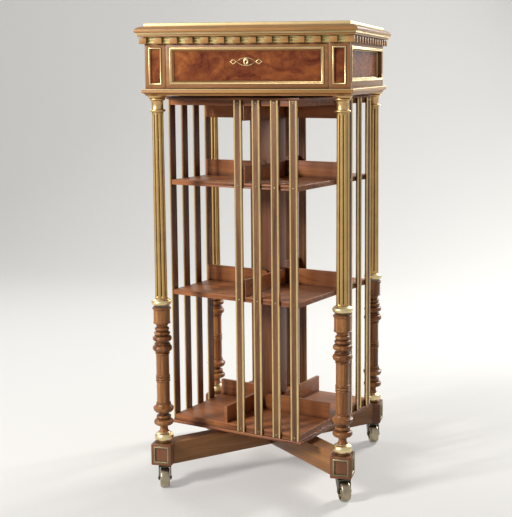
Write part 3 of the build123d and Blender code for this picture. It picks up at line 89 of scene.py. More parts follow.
# Node helpers
class Nodes:
    """Short calls to add and wire shader nodes in one material."""

    def __init__(self, name):
        self.material = bpy.data.materials.new(name)
        self.material.use_nodes = True
        self.tree = self.material.node_tree
        self.shader = self.tree.nodes["Principled BSDF"]

    def add(self, kind, **values):
        node = self.tree.nodes.new("ShaderNode" + kind)
        for key, value in values.items():
            setattr(node, key, value)
        return node

    def wire(self, source, target):
        self.tree.links.new(source, target)

    def put(self, socket, value):
        """Wires a socket, or writes a number or colour into it."""
        if isinstance(value, bpy.types.NodeSocket):
            self.wire(value, socket)
        elif isinstance(value, tuple) and len(value) == 3 and socket.type == "RGBA":
            socket.default_value = (*value, 1.0)
        else:
            socket.default_value = value

    def math(self, operation, first, second=0.0):
        node = self.add("Math", operation=operation)
        self.put(node.inputs[0], first)
        self.put(node.inputs[1], second)
        return node.outputs[0]

    def noise(self, vector, scale, detail=4.0, roughness=0.55, distortion=0.0):
        node = self.add("TexNoise")
        node.inputs["Scale"].default_value = scale
        node.inputs["Detail"].default_value = detail
        node.inputs["Roughness"].default_value = roughness
        node.inputs["Distortion"].default_value = distortion
        self.wire(vector, node.inputs["Vector"])
        return node.outputs["Fac"]

    def stretched(self, vector, scale=(1.0, 1.0, 1.0), rotation=(0.0, 0.0, 0.0), location=(0.0, 0.0, 0.0)):
        node = self.add("Mapping")
        node.inputs["Scale"].default_value = scale
        node.inputs["Rotation"].default_value = rotation
        node.inputs["Location"].default_value = location
        self.wire(vector, node.inputs["Vector"])
        return node.outputs["Vector"]

    def ramp(self, value, stops):
        """Colour ramp with (position, colour) stops."""
        node = self.add("ValToRGB")
        elements = node.color_ramp.elements
        while len(elements) < len(stops):
            elements.new(0.5)
        for element, (position, colour) in zip(elements, stops):
            element.position = position
            element.color = (*colour, 1.0)
        self.wire(value, node.inputs["Fac"])
        return node.outputs["Color"]

    def blend(self, factor, first, second):
        """Colour from first to second by a factor."""
        node = self.add("Mix", data_type="RGBA")
        self.put(node.inputs[0], factor)
        self.put(node.inputs[6], first)
        self.put(node.inputs[7], second)
        return node.outputs[2]

    def spread(self, value, low, high, to_low=0.0, to_high=1.0):
        """Value between low and high mapped to the range from to_low to to_high."""
        node = self.add("MapRange")
        for name, number in (("From Min", low), ("From Max", high), ("To Min", to_low), ("To Max", to_high)):
            node.inputs[name].default_value = number
        self.wire(value, node.inputs["Value"])
        return node.outputs["Result"]

    def marked(self, name):
        """Float that a mesh carries under this name, 0 where it has none."""
        return self.add("Attribute", attribute_name=name).outputs["Fac"]

    def hollow(self, distance):
        """1 in tight corners, 0 in the open."""
        node = self.add("AmbientOcclusion", samples=6)
        node.inputs["Distance"].default_value = distance
        return self.spread(node.outputs["AO"], 0.95, 0.35)

    def bump(self, height, strength, distance):
        node = self.add("Bump")
        node.inputs["Strength"].default_value = strength
        node.inputs["Distance"].default_value = distance
        self.wire(height, node.inputs["Height"])
        self.wire(node.outputs["Normal"], self.shader.inputs["Normal"])


def grain_vector(nodes, along):
    """Coordinates turned so that X runs along the grain, another figure for every board."""
    place = nodes.add("TexCoord").outputs["Object"]
    turns = {"x": (0, 0, 0), "y": (0, 0, pi / 2), "z": (0, pi / 2, 0), "case": (0, 0, -CASE_TURN)}
    if along in turns:
        turned = nodes.stretched(place, rotation=turns[along])
    else:
        parts = nodes.add("SeparateXYZ")
        nodes.wire(place, parts.inputs[0])
        x, y, _ = parts.outputs
        if along == "square":
            across = nodes.math("GREATER_THAN", nodes.math("ABSOLUTE", x), nodes.math("ABSOLUTE", y))
            first, second = 0.0, pi / 2
        else:
            across = nodes.math("GREATER_THAN", nodes.math("MULTIPLY", x, y), 0.0)
            first, second = pi / 4, -pi / 4
        mix = nodes.add("Mix", data_type="VECTOR")
        nodes.wire(across, mix.inputs[0])
        nodes.wire(nodes.stretched(place, rotation=(0, 0, first)), mix.inputs[4])
        nodes.wire(nodes.stretched(place, rotation=(0, 0, second)), mix.inputs[5])
        turned = mix.outputs[1]
    board = nodes.add("NewGeometry").outputs["Random Per Island"]
    moved = nodes.add("VectorMath", operation="ADD")
    nodes.wire(turned, moved.inputs[0])
    nodes.wire(nodes.math("MULTIPLY", board, 7.3), moved.inputs[1])
    return moved.outputs[0]


# Tones of the woods, from dark to light, and the near-black brown of the painted shade in their corners and the
# inlay line of the top
RED = ((0.060, 0.017, 0.009), (0.245, 0.076, 0.028), (0.500, 0.190, 0.064))
# Slat tone: darker walnut, partly the wood's own tone and partly painted shade of the case's inside
SHADED_UMBER = ((0.055, 0.022, 0.010), (0.165, 0.070, 0.031), (0.290, 0.138, 0.060))
DUSKY = ((0.050, 0.018, 0.009), (0.160, 0.056, 0.026), (0.300, 0.120, 0.055))
BROWN = ((0.120, 0.042, 0.014), (0.300, 0.122, 0.040), (0.450, 0.215, 0.080))
HONEY = ((0.130, 0.042, 0.014), (0.340, 0.130, 0.038), (0.520, 0.250, 0.085))
GILT = ((0.180, 0.070, 0.020), (0.410, 0.180, 0.052), (0.580, 0.315, 0.105))
PLAIN = ((0.16, 0.085, 0.038), (0.30, 0.17, 0.08), (0.42, 0.26, 0.13))
CORNER_SHADE_AND_INLAY = (0.018, 0.008, 0.004)


def walnut(name, along, dark, middle, light, gloss=0.32):
    """Polished walnut: long figure, fine pores, edges lightened as wear and painted highlight, painted shade in
    tight corners and a soft gloss.
    """
    nodes = Nodes(name)
    grain = grain_vector(nodes, along)
    cloud = nodes.noise(nodes.stretched(grain, (2.0, 6.0, 6.0)), 1.5, 3.0)
    figure = nodes.noise(nodes.stretched(grain, (1.1, 20.0, 20.0)), 2.2, 6.0, 0.6, 1.4)
    lines = nodes.noise(nodes.stretched(grain, (2.0, 150.0, 150.0)), 3.0, 3.0, 0.7)
    pores = nodes.noise(nodes.stretched(grain, (28.0, 800.0, 800.0)), 2.0, 2.0, 0.6)
    mixed = nodes.math("ADD", nodes.math("MULTIPLY", figure, 0.56), nodes.math("MULTIPLY", lines, 0.2))
    mixed = nodes.math("ADD", mixed, nodes.math("MULTIPLY", cloud, 0.24))
    colour = nodes.ramp(mixed, ((0.39, dark), (0.50, middle), (0.61, light)))
    pits = nodes.spread(pores, 0.52, 0.38)
    colour = nodes.blend(nodes.math("MULTIPLY", pits, 0.5), colour, dark)
    # Rounded edges lightened: partly wear, partly painted highlight
    colour = nodes.blend(nodes.math("MULTIPLY", nodes.marked("worn_highlit_edge"), 0.45), colour, light)
    # Painted shade: tight corners darkened towards near black
    colour = nodes.blend(nodes.math("MULTIPLY", nodes.hollow(0.012), 0.7), colour, CORNER_SHADE_AND_INLAY)
    nodes.wire(colour, nodes.shader.inputs["Base Color"])
    nodes.wire(nodes.spread(cloud, 0.3, 0.7, gloss - 0.06, gloss + 0.12), nodes.shader.inputs["Roughness"])
    nodes.shader.inputs["Specular IOR Level"].default_value = 0.35
    nodes.bump(nodes.math("SUBTRACT", nodes.math("MULTIPLY", lines, 0.4), pits), 0.15, 0.0005)
    return nodes.material


def burr_colour(nodes, place):
    """Swirling mottle with small dark eyes; gives the colour and its fine height."""
    swirl = nodes.noise(nodes.stretched(place, (1.0, 1.0, 1.7)), 5.0, 4.0, 0.5, 2.2)
    moved = nodes.stretched(place, (1.0, 1.0, 1.5), location=(3.1, 1.7, 0.4))
    cloud = nodes.noise(moved, 16.0, 5.0, 0.55, 2.6)
    fine = nodes.noise(place, 150.0, 4.0, 0.7, 0.8)
    mixed = nodes.math("ADD", nodes.math("MULTIPLY", swirl, 0.55), nodes.math("MULTIPLY", cloud, 0.37))
    mixed = nodes.math("ADD", mixed, nodes.math("MULTIPLY", fine, 0.08))
    colour = nodes.ramp(
        mixed,
        ((0.36, (0.110, 0.022, 0.011)), (0.47, (0.215, 0.058, 0.022)), (0.57, (0.340, 0.105, 0.032)),
         (0.68, (0.500, 0.200, 0.060))),
    )
    eyes = nodes.add("TexVoronoi", feature="F1")
    eyes.inputs["Scale"].default_value = 58.0
    nodes.wire(place, eyes.inputs["Vector"])
    spots = nodes.spread(eyes.outputs["Distance"], 0.06, 0.24)
    return nodes.blend(spots, nodes.blend(0.35, colour, (0.030, 0.009, 0.005)), colour), fine


def burr(name):
    """Burr veneer under polish, with painted shade in tight corners."""
    nodes = Nodes(name)
    colour, fine = burr_colour(nodes, nodes.add("TexCoord").outputs["Object"])
    # Painted shade: tight corners darkened towards near black
    colour = nodes.blend(nodes.math("MULTIPLY", nodes.hollow(0.015), 0.7), colour, CORNER_SHADE_AND_INLAY)
    nodes.wire(colour, nodes.shader.inputs["Base Color"])
    nodes.wire(nodes.spread(fine, 0.0, 1.0, 0.20, 0.34), nodes.shader.inputs["Roughness"])
    nodes.shader.inputs["Specular IOR Level"].default_value = 0.12
    nodes.bump(fine, 0.05, 0.0004)
    return nodes.material


def table_top(name, field_out, line):
    """The top: a burr field inside a thin dark line, and a walnut band round it; sizes in metres."""
    nodes = Nodes(name)
    place = nodes.add("TexCoord").outputs["Object"]
    field, fine = burr_colour(nodes, place)
    grain = grain_vector(nodes, "square")
    figure = nodes.noise(nodes.stretched(grain, (22.0, 1.5, 1.5)), 2.4, 5.0, 0.6, 1.2)
    dark, middle, light = BROWN
    band = nodes.ramp(figure, ((0.36, dark), (0.52, middle), (0.72, light)))
    parts = nodes.add("SeparateXYZ")
    nodes.wire(place, parts.inputs[0])
    x, y, _ = parts.outputs
    out = nodes.math("MAXIMUM", nodes.math("ABSOLUTE", x), nodes.math("ABSOLUTE", y))
    colour = nodes.blend(nodes.math("GREATER_THAN", out, field_out), field, band)
    from_line = nodes.math("ABSOLUTE", nodes.math("SUBTRACT", out, field_out))
    colour = nodes.blend(nodes.math("LESS_THAN", from_line, line), colour, CORNER_SHADE_AND_INLAY)
    nodes.wire(colour, nodes.shader.inputs["Base Color"])
    nodes.wire(nodes.spread(fine, 0.0, 1.0, 0.26, 0.40), nodes.shader.inputs["Roughness"])
    nodes.shader.inputs["Specular IOR Level"].default_value = 0.3
    nodes.bump(fine, 0.04, 0.0004)
    return nodes.material


def metal(name, bright, dull, low=0.24, high=0.45, dirt=0.5, metallic=1.0, reach=0.005):
    """Worn metal: brighter on rounded edges, partly wear and partly painted highlight; duller and browner in
    patches, grooves and hollows.
    """
    nodes = Nodes(name)
    place = nodes.add("TexCoord").outputs["Object"]
    patches = nodes.spread(nodes.noise(place, 18.0, 6.0, 0.62, 0.6), 0.42, 0.72, 0.0, dirt)
    specks = nodes.noise(place, 240.0, 4.0, 0.65)
    tarnish = nodes.math("ADD", patches, nodes.spread(specks, 0.5, 0.8, 0.0, dirt * 0.4))
    tarnish = nodes.math("ADD", tarnish, nodes.math("MULTIPLY", nodes.hollow(reach), 0.8))
    tarnish = nodes.math("MINIMUM", nodes.math("ADD", tarnish, nodes.marked("groove")), 1.0)
    # Rounded edges brighter: partly wear, partly painted highlight
    worn_highlit_edge = nodes.math("MULTIPLY", nodes.marked("worn_highlit_edge"), 0.5)
    tarnish = nodes.math("MAXIMUM", nodes.math("SUBTRACT", tarnish, worn_highlit_edge), 0.0)
    nodes.wire(nodes.blend(tarnish, bright, dull), nodes.shader.inputs["Base Color"])
    nodes.shader.inputs["Metallic"].default_value = metallic
    nodes.wire(nodes.spread(tarnish, 0.0, 1.0, low, high), nodes.shader.inputs["Roughness"])
    nodes.bump(specks, 0.06, 0.0005)
    return nodes.material


# Materials and the nodes that wear them
CASE_WOOD = walnut("walnut_shelves", "case", *RED)
# Slats: darker tone, partly painted shade of the case's inside
SLAT_WOOD = walnut("shaded_walnut_slats", "z", *SHADED_UMBER)
BLOCK_WOOD = walnut("walnut_blocks", "z", *DUSKY)
STRETCHER_WOOD = walnut("walnut_stretchers", "diagonal", *BROWN)
LEG_WOOD = walnut("walnut_legs", "z", *HONEY)
POST_WOOD = walnut("walnut_posts", "z", *BROWN)
RAIL_WOOD = walnut("walnut_rails", "square", *BROWN)
FRONT_WOOD = walnut("walnut_front", "x", *BROWN)
GILT_WOOD = walnut("walnut_mouldings", "square", *GILT)
DRAWER_WOOD = walnut("drawer_wood", "y", *PLAIN, gloss=0.55)
BURR = burr("burr_walnut")
TABLE = table_top("table_top", field_out=0.196, line=0.0012)
BRASS = metal("brass_shafts", (0.62, 0.41, 0.16), (0.17, 0.085, 0.028), 0.34, 0.5, dirt=0.3)
RING_BRASS = metal("brass_rings", (0.84, 0.68, 0.38), (0.42, 0.28, 0.11), 0.34, 0.5, dirt=0.3)
CAPITAL_BRASS = metal("brass_capitals", (0.70, 0.47, 0.21), (0.30, 0.15, 0.06), 0.34, 0.5, dirt=0.5)
BEAD_BRASS = metal("brass_beads", (0.78, 0.58, 0.28), (0.30, 0.18, 0.065), 0.30, 0.45, dirt=0.35)
LINE_BRASS = metal("brass_lines", (0.68, 0.51, 0.27), (0.34, 0.22, 0.085), 0.36, 0.50, dirt=0.35)
BACKING_BRASS = metal("brass_backing", (0.58, 0.48, 0.22), (0.28, 0.20, 0.07), 0.4, 0.55, reach=0.004)
OLD_BRASS = metal("brass_dull", (0.40, 0.34, 0.20), (0.10, 0.080, 0.045), 0.32, 0.5, dirt=0.8)
WHEEL_BRASS = metal("brass_wheels", (0.48, 0.41, 0.29), (0.16, 0.125, 0.075), 0.28, 0.46, dirt=0.7)
IRON = metal("iron", (0.10, 0.085, 0.07), (0.025, 0.02, 0.018), 0.4, 0.65, metallic=0.8)

FINISHES = (
    (TABLE, ("top_board",)),
    (GILT_WOOD, ("cornice_mouldings", "base_moulding", "dentils")),
    (POST_WOOD, ("corner_posts",)),
    (RAIL_WOOD, ("carcass_rails",)),
    (FRONT_WOOD, ("back_panel", "bottom_board", "drawer_front")),
    (BURR, ("side_panels", "burr_panels", "drawer_panel")),
    (BLOCK_WOOD, ("corner_blocks", "centre_post")),
    (STRETCHER_WOOD, ("stretcher_lower", "stretcher_upper")),
    (CASE_WOOD, ("bottom_shelf", "middle_shelf", "upper_shelf", "top_shelf", "book_stops", "hanging_stops")),
    (SLAT_WOOD, ("slats",)),
    (DRAWER_WOOD, ("drawer_guides", "drawer_sides", "drawer_back", "drawer_bottom")),
    (LINE_BRASS, ("top_fillet", "brass_lines", "panel_frames", "drawer_frame", "escutcheon")),
    (BACKING_BRASS, ("dentil_backing",)),
    (OLD_BRASS, ("block_frames", "slat_nails")),
    (CAPITAL_BRASS, ("capitals",)),
    (RING_BRASS, ("column_rings",)),
    (BEAD_BRASS, ("slat_beads",)),
    (BRASS, ("pivot_bushes", "lock_bolt")),
    (IRON, ("spindle", "top_pivot", "castor_plates", "drawer_lock")),
)
FINISH = {node: finish for finish, nodes in FINISHES for node in nodes}
for corner in CORNERS:
    FINISH["leg_" + corner] = LEG_WOOD
    FINISH["column_shaft_" + corner] = BRASS
    FINISH["castor_fork_" + corner] = IRON
    FINISH["castor_wheel_" + corner] = WHEEL_BRASS

for node, finish in FINISH.items():
    data = NODES[node].data
    data.materials.clear()
    data.materials.append(finish)


# Mesh helpers
def finished(name, work, body, finish, replaced=(), smooth=38):
    """Object from a bmesh: smooth shading with sharp corners kept, riding on a body."""
    bmesh.ops.recalc_face_normals(work, faces=work.faces)
    data = bpy.data.meshes.new(name)
    work.to_mesh(data)
    work.free()
    data.shade_smooth()
    data.set_sharp_from_angle(angle=radians(smooth))
    data.materials.append(finish)
    piece = bpy.data.objects.new(name, data)
    scene.collection.objects.link(piece)
    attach(piece, body)
    if replaced:
        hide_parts(*replaced)
    return piece


def softened(node, width, segments=2, shortest=4.0):
    """The CAD node with its hard edges rounded as by hand; the rounded faces are marked as worn edges, which the
    finishes lighten as wear and painted highlight.
    """
    work = bmesh.new()
    work.from_mesh(NODES[node].data)
    bmesh.ops.remove_doubles(work, verts=work.verts, dist=0.002 * MM)
    bmesh.ops.dissolve_limit(work, angle_limit=radians(1), verts=work.verts, edges=work.edges)
    hard = [
        edge for edge in work.edges
        if len(edge.link_faces) == 2 and edge.calc_face_angle() > radians(30)
        and edge.calc_length() > shortest * MM
    ]
    made = bmesh.ops.bevel(
        work, geom=hard, affect="EDGES", offset=width * MM, segments=segments, profile=0.6,
        clamp_overlap=True,
    )
    worn_highlit_edge = work.verts.layers.float.new("worn_highlit_edge")
    for face in made["faces"]:
        for vert in face.verts:
            vert[worn_highlit_edge] = 1.0
    return finished("soft_" + node, work, NODE_BODY[node], FINISH[node], (node,))


class Outline:
    """Outline of a turned piece in (radius, level), drawn upwards, its arcs in short steps."""

    STEPS = 10

    def __init__(self, radius, level):
        self.points = [(radius, level)]

    def straight(self, radius, rise=0.0):
        """Line to a radius, level or rising."""
        self.points.append((radius, self.points[-1][1] + rise))

    def bead(self, radius, rise):
        """Arc out to a radius and back, over a rise."""
        foot, level = self.points[-1]
        swell = radius - foot
        arc_radius = (rise * rise / 4 + swell * swell) / (2 * swell)
        reach = asin(min(rise / 2 / abs(arc_radius), 1.0))
        for step in range(1, self.STEPS + 1):
            angle = reach * (2 * step / self.STEPS - 1)
            self.points.append((
                radius - arc_radius + arc_radius * cos(angle),
                level + rise / 2 + abs(arc_radius) * sin(angle),
            ))

    def half_round(self, radius, rise):
        """Half circle that stands out from a step, over a rise."""
        foot = self.points[-1][0]
        self.straight(radius - rise / 2)
        self.bead(radius, rise)
        self.straight(foot)


def turn(work, points, place, segments=48, closed=False):
    """Turns (radius, level) points about the local Z of a place; ends on the axis are closed."""
    rings = []
    for radius, level in points:
        count = 1 if radius < 0.001 else segments
        angles = [2 * pi * step / segments for step in range(count)]
        rings.append([
            work.verts.new(place @ (Vector((radius * cos(angle), radius * sin(angle), level)) * MM))
            for angle in angles
        ])
    pairs = list(zip(rings, rings[1:]))
    if closed:
        pairs.append((rings[-1], rings[0]))
    join_rings(work, pairs, segments)


def join_rings(work, pairs, segments):
    """Faces between neighbouring rings, or between a ring and a point."""
    for lower, upper in pairs:
        for step in range(segments):
            after = (step + 1) % segments
            if len(lower) == 1 and len(upper) > 1:
                work.faces.new((lower[0], upper[after], upper[step]))
            elif len(upper) == 1 and len(lower) > 1:
                work.faces.new((lower[step], lower[after], upper[0]))
            elif len(lower) > 1:
                work.faces.new((lower[step], lower[after], upper[after], upper[step]))


def swept(work, loops):
    """Closed tube through closed loops of vertices."""
    count = len(loops[0])
    for loop, following in zip(loops, loops[1:] + loops[:1]):
        for index in range(count):
            after = (index + 1) % count
            work.faces.new((loop[index], following[index], following[after], loop[after]))


def framed(work, place, opening, section):
    """Mitred moulding round an opening; the section is (out from the opening, up from the face)."""
    width, height = opening
    swept(work, [
        [
            work.verts.new(place @ Vector((
                x_side * (width / 2 + out) * MM, y_side * (height / 2 + out) * MM, rise * MM,
            )))
            for out, rise in section
        ]
        for x_side, y_side in ((-1, -1), (1, -1), (1, 1), (-1, 1))
    ])


def square_course(work, section):
    """Mitred length round the cabinet; the section is (out from the centre line, level)."""
    swept(work, [
        [work.verts.new(Vector((x_side * out, y_side * out, level)) * MM) for out, level in section]
        for x_side, y_side in ((-1, -1), (1, -1), (1, 1), (-1, 1))
    ])


def half_round_section(out, level, radius, back, steps=8):
    """Bead facing outwards, closed by a flat back."""
    arc = [-pi / 2 + pi * step / steps for step in range(steps + 1)]
    return [(back, level - radius)] + [
        (out + radius * cos(angle), level + radius * sin(angle)) for angle in arc
    ] + [(back, level + radius)]


def upright(out, level, quarter=0.0, across=0.0):
    """Place on an upright face: local x across, local y up, local z outwards; quarter 0 is the front."""
    face = Matrix((
        (1, 0, 0, across * MM),
        (0, 0, -1, -out * MM),
        (0, 1, 0, level * MM),
        (0, 0, 0, 1),
    ))
    return Matrix.Rotation(quarter, 4, "Z") @ face


def stand(corner):
    """Place on the axis of a column."""
    x, y = CORNERS[corner]
    return Matrix.Translation((x * MM, y * MM, 0))


# Boards and blocks with softened edges
for node, width in (
    ("corner_blocks", 1.2), ("stretcher_lower", 1.2), ("stretcher_upper", 1.2), ("bottom_shelf", 0.8),
    ("middle_shelf", 1.2), ("upper_shelf", 1.2), ("top_shelf", 0.8), ("centre_post", 1.5), ("slats", 0.8),
    ("book_stops", 1.2), ("hanging_stops", 1.2), ("corner_posts", 0.5), ("carcass_rails", 0.5),
    ("back_panel", 0.6), ("bottom_board", 0.8), ("base_moulding", 0.7), ("top_board", 0.8),
    ("cornice_mouldings", 0.9), ("dentils", 0.9), ("drawer_front", 0.7), ("drawer_guides", 0.6),
    ("drawer_sides", 0.8), ("drawer_back", 0.8), ("drawer_bottom", 0.4), ("drawer_lock", 0.6),
    ("lock_bolt", 0.6),
):
    softened(node, width)
for corner in CORNERS:
    softened("castor_fork_" + corner, 0.5, shortest=2.0)

# Turned walnut legs: tenon through the brass ring, foot with ball and disc
leg = Outline(0, 99)
leg.straight(10.5)
leg.straight(10.5, 48)
leg.straight(14.8)
leg.straight(12.4, 2.5)
leg.straight(10.6, 4.0)
leg.straight(10.2, 4.0)
leg.straight(11.0, 4.0)
leg.straight(13.5, 3.0)
leg.straight(19.0, 1.5)
leg.bead(25.8, 15.5)
leg.straight(16.5)
leg.straight(16.5, 2.0)
leg.bead(19.6, 9.0)
leg.straight(12.0)
leg.straight(11.5, 3.5)
leg.straight(12.0, 3.5)
leg.straight(17.5)
leg.straight(22.5, 2.5)
leg.straight(25.6, 4.0)
leg.straight(27.0, 5.0)
leg.straight(27.0, 2.5)
leg.straight(25.2, 1.4)
leg.straight(21.4, 3.0)
leg.straight(19.0, 5.0)
leg.straight(18.2)
leg.bead(19.2, 4.0)
# Long shank with three beads half way
leg.straight(17.0)
leg.straight(17.0, 55.0)
for _ in range(3):
    leg.bead(18.8, 6.5)
leg.straight(17.0, 55.0)
leg.bead(19.0, 4.5)
# Balls and discs over the shank
leg.straight(17.6)
leg.straight(19.6, 3.5)
leg.bead(25.6, 17.5)
leg.straight(18.4)
leg.bead(20.8, 4.5)
leg.straight(16.5)
leg.straight(16.5, 5.0)
leg.straight(18.0)
leg.bead(25.0, 14.5)
leg.straight(15.5)
leg.straight(15.5, 2.0)
leg.bead(21.2, 9.5)
leg.straight(15.0)
leg.straight(15.0, 2.0)
leg.bead(19.0, 9.5)
leg.straight(14.0)
leg.straight(14.6, 3.0)
leg.straight(17.0, 4.5)
leg.straight(20.6, 3.0)
# Smooth head under the brass
leg.straight(22.6)
leg.straight(22.6, 1.5)
leg.straight(21.6, 0.8)
leg.straight(21.6, 34.5)
leg.half_round(24.6, 5.0)
leg.straight(21.6, 2.0)
leg.straight(0)
for corner in CORNERS:
    work = bmesh.new()
    turn(work, leg.points, stand(corner))
    finished("turned_leg_" + corner, work, "frame", LEG_WOOD, ("leg_" + corner,), smooth=50)

# Reeded shafts, the grooves dying out before both ends
REEDS = 8
REED_STEPS = 12
SHAFT_FOOT, SHAFT_TOP = 505.0, 989.0
SHAFT_HEIGHT = SHAFT_TOP - SHAFT_FOOT
FOOT_RADIUS, TOP_RADIUS = 16.5, 15.0
FOOT_REED, TOP_REED = 4.9, 4.45
PLAIN_END = 3.0
PLAIN_INSET = 0.15
GROOVE_STOP = 9.0
GROOVE_DEPTH = 3.7
from_ends = [0.0] + [PLAIN_END + GROOVE_STOP * step / 4 for step in range(5)]
shaft_levels = [SHAFT_FOOT + from_end for from_end in from_ends]
shaft_levels += [SHAFT_FOOT + SHAFT_HEIGHT * step / 8 for step in range(1, 8)]
shaft_levels += [SHAFT_TOP - from_end for from_end in reversed(from_ends)]

for corner in CORNERS:
    work = bmesh.new()
    groove = work.verts.layers.float.new("groove")
    place = stand(corner)
    rings = []
    for level in shaft_levels:
        share = (level - SHAFT_FOOT) / SHAFT_HEIGHT
        outer = FOOT_RADIUS + (TOP_RADIUS - FOOT_RADIUS) * share
        reed = FOOT_REED + (TOP_REED - FOOT_REED) * share
        into_reeds = min(level - SHAFT_FOOT, SHAFT_TOP - level) - PLAIN_END
        depth = sqrt(max(1 - max(1 - into_reeds / GROOVE_STOP, 0) ** 2, 0))
        ring = []
        for step in range(REEDS * REED_STEPS):
            offset = ((step % REED_STEPS) / REED_STEPS - 0.5) * 2 * pi / REEDS
            centre = outer - reed
            reach = centre * cos(offset) + sqrt(max(reed ** 2 - (centre * sin(offset)) ** 2, 0))
            radius = outer - PLAIN_INSET - (outer - PLAIN_INSET - reach) * depth
            angle = 2 * pi * step / (REEDS * REED_STEPS) - pi / REEDS
            vert = work.verts.new(place @ (Vector((radius * cos(angle), radius * sin(angle), level)) * MM))
            vert[groove] = max((outer - reach) / GROOVE_DEPTH * depth - 0.35, 0) * 1.5
            ring.append(vert)
        rings.append(ring)
    join_rings(work, list(zip(rings, rings[1:])), REEDS * REED_STEPS)
    work.faces.new(rings[0])
    work.faces.new(rings[-1])
    finished("reeded_shaft_" + corner, work, "frame", BRASS, ("column_shaft_" + corner,), smooth=60)

# Brass rings under and over the legs, and the capitals
lower_ring = Outline(10.6, 119)
lower_ring.straight(20.0)
lower_ring.straight(20.5, 0.6)
lower_ring.straight(20.5, 3.4)
lower_ring.bead(25.0, 20.2)
lower_ring.straight(18.2, 0.4)
lower_ring.straight(17.4, 1.0)
lower_ring.straight(16.2, 0.4)
lower_ring.straight(15.4, 1.2)
lower_ring.straight(14.6, 0.8)
lower_ring.straight(10.6)
upper_ring = Outline(0, 488)
upper_ring.straight(21.3)
upper_ring.bead(26.0, 14.6)
upper_ring.straight(19.6, 0.6)
upper_ring.straight(19.2, 0.8)
upper_ring.straight(18.4, 0.6)
upper_ring.straight(17.6, 0.4)
upper_ring.straight(0)
capital = Outline(0, 989)
capital.straight(15.5)
capital.half_round(20.5, 6.0)
capital.straight(14.9, 1.5)
capital.straight(14.7, 10.0)
capital.straight(15.5, 10.0)
capital.straight(17.0, 1.5)
capital.half_round(20.5, 6.0)
capital.straight(20.9)
capital.straight(22.6, 0.8)
capital.straight(24.2, 3.0)
capital.straight(25.8, 1.4)
capital.straight(26.0, 0.8)
capital.straight(0)
rings = bmesh.new()
tops = bmesh.new()
for corner in CORNERS:
    turn(rings, lower_ring.points, stand(corner), closed=True)
    turn(rings, upper_ring.points, stand(corner))
    turn(tops, capital.points, stand(corner))
finished("turned_rings", rings, "frame", RING_BRASS, ("column_rings",), smooth=50)
finished("turned_capitals", tops, "frame", CAPITAL_BRASS, ("capitals",), smooth=50)

# Mitred brass mouldings: openings as (width, height), sections as (out from the opening, up from the face)
CARCASS_OUT = 263.0
FIELD_LEVEL = 1104.0
FIELD_SIZE = (384, 80)
PILASTER_ACROSS = 236
PILASTER_SIZE = (27, 86)
SIDE_LEVEL = 1107.0
SIDE_SIZE = (482, 74)
BLOCK_OUT = 267.5
BLOCK_LEVEL = 90.0
BLOCK_SIZE = (33, 36)
FIELD_SECTION = [
    (6.0, 0), (6.0, 0.9), (5.6, 1.8), (4.9, 2.35), (4.1, 2.5), (3.3, 2.3), (2.7, 1.7), (2.4, 1.1),
    (1.7, 1.1), (1.3, 1.7), (0.6, 2.1), (0.0, 1.9), (-0.6, 1.1), (-1.2, -0.4), (-2.2, -2.2), (-3.2, -3.7),
    (-4.0, -5.0), (0.0, -5.0),
]
PILASTER_SECTION = [
    (3.5, 0), (3.5, 0.9), (3.2, 1.8), (2.5, 2.4), (1.7, 2.5), (0.9, 2.2), (0.4, 1.5), (0.0, 1.3), (-0.5, 0.2),
    (-1.1, -1.4), (-1.7, -2.8), (-2.0, -3.5), (0.0, -3.5),
]
SIDE_SECTION = [
    (7.0, 0), (7.0, 1.0), (6.5, 1.9), (5.6, 2.4), (4.6, 2.5), (3.7, 2.1), (3.2, 1.3), (2.6, 1.1), (2.2, 1.6),
    (1.4, 1.9), (0.6, 1.6), (0.1, 0.8), (0.0, 0.0),
]
SIDE_BEAD_SECTION = [
    (0.0, -14.0), (0.0, -11.2), (-0.6, -11.0), (-1.6, -11.2), (-2.4, -11.9), (-2.9, -12.9), (-3.0, -14.0),
]
BLOCK_SECTION = [
    (4.0, 0), (4.0, 0.5), (3.6, 0.9), (3.0, 1.0), (1.2, 1.0), (0.6, 0.8), (0.0, 0.3), (-0.4, -0.8),
    (-1.0, -2.5), (0.0, -2.5),
]

work = bmesh.new()
framed(work, upright(CARCASS_OUT, FIELD_LEVEL), FIELD_SIZE, FIELD_SECTION)
finished("drawer_moulding", work, "drawer", LINE_BRASS, ("drawer_frame",))

work = bmesh.new()
framed(work, upright(CARCASS_OUT, FIELD_LEVEL, pi), FIELD_SIZE, FIELD_SECTION)
for quarter in (0.0, pi):
    for across in (-PILASTER_ACROSS, PILASTER_ACROSS):
        framed(work, upright(CARCASS_OUT, FIELD_LEVEL, quarter, across), PILASTER_SIZE, PILASTER_SECTION)
for quarter in (pi / 2, -pi / 2):
    framed(work, upright(CARCASS_OUT, SIDE_LEVEL, quarter), SIDE_SIZE, SIDE_SECTION)
    framed(work, upright(CARCASS_OUT, SIDE_LEVEL, quarter), SIDE_SIZE, SIDE_BEAD_SECTION)
finished("panel_mouldings", work, "frame", LINE_BRASS, ("panel_frames",))

work = bmesh.new()
for quarter in QUARTERS:
    for across in (-COLUMN_OUT, COLUMN_OUT):
        framed(work, upright(BLOCK_OUT, BLOCK_LEVEL, quarter, across), BLOCK_SIZE, BLOCK_SECTION)
finished("block_mouldings", work, "frame", OLD_BRASS, ("block_frames",))

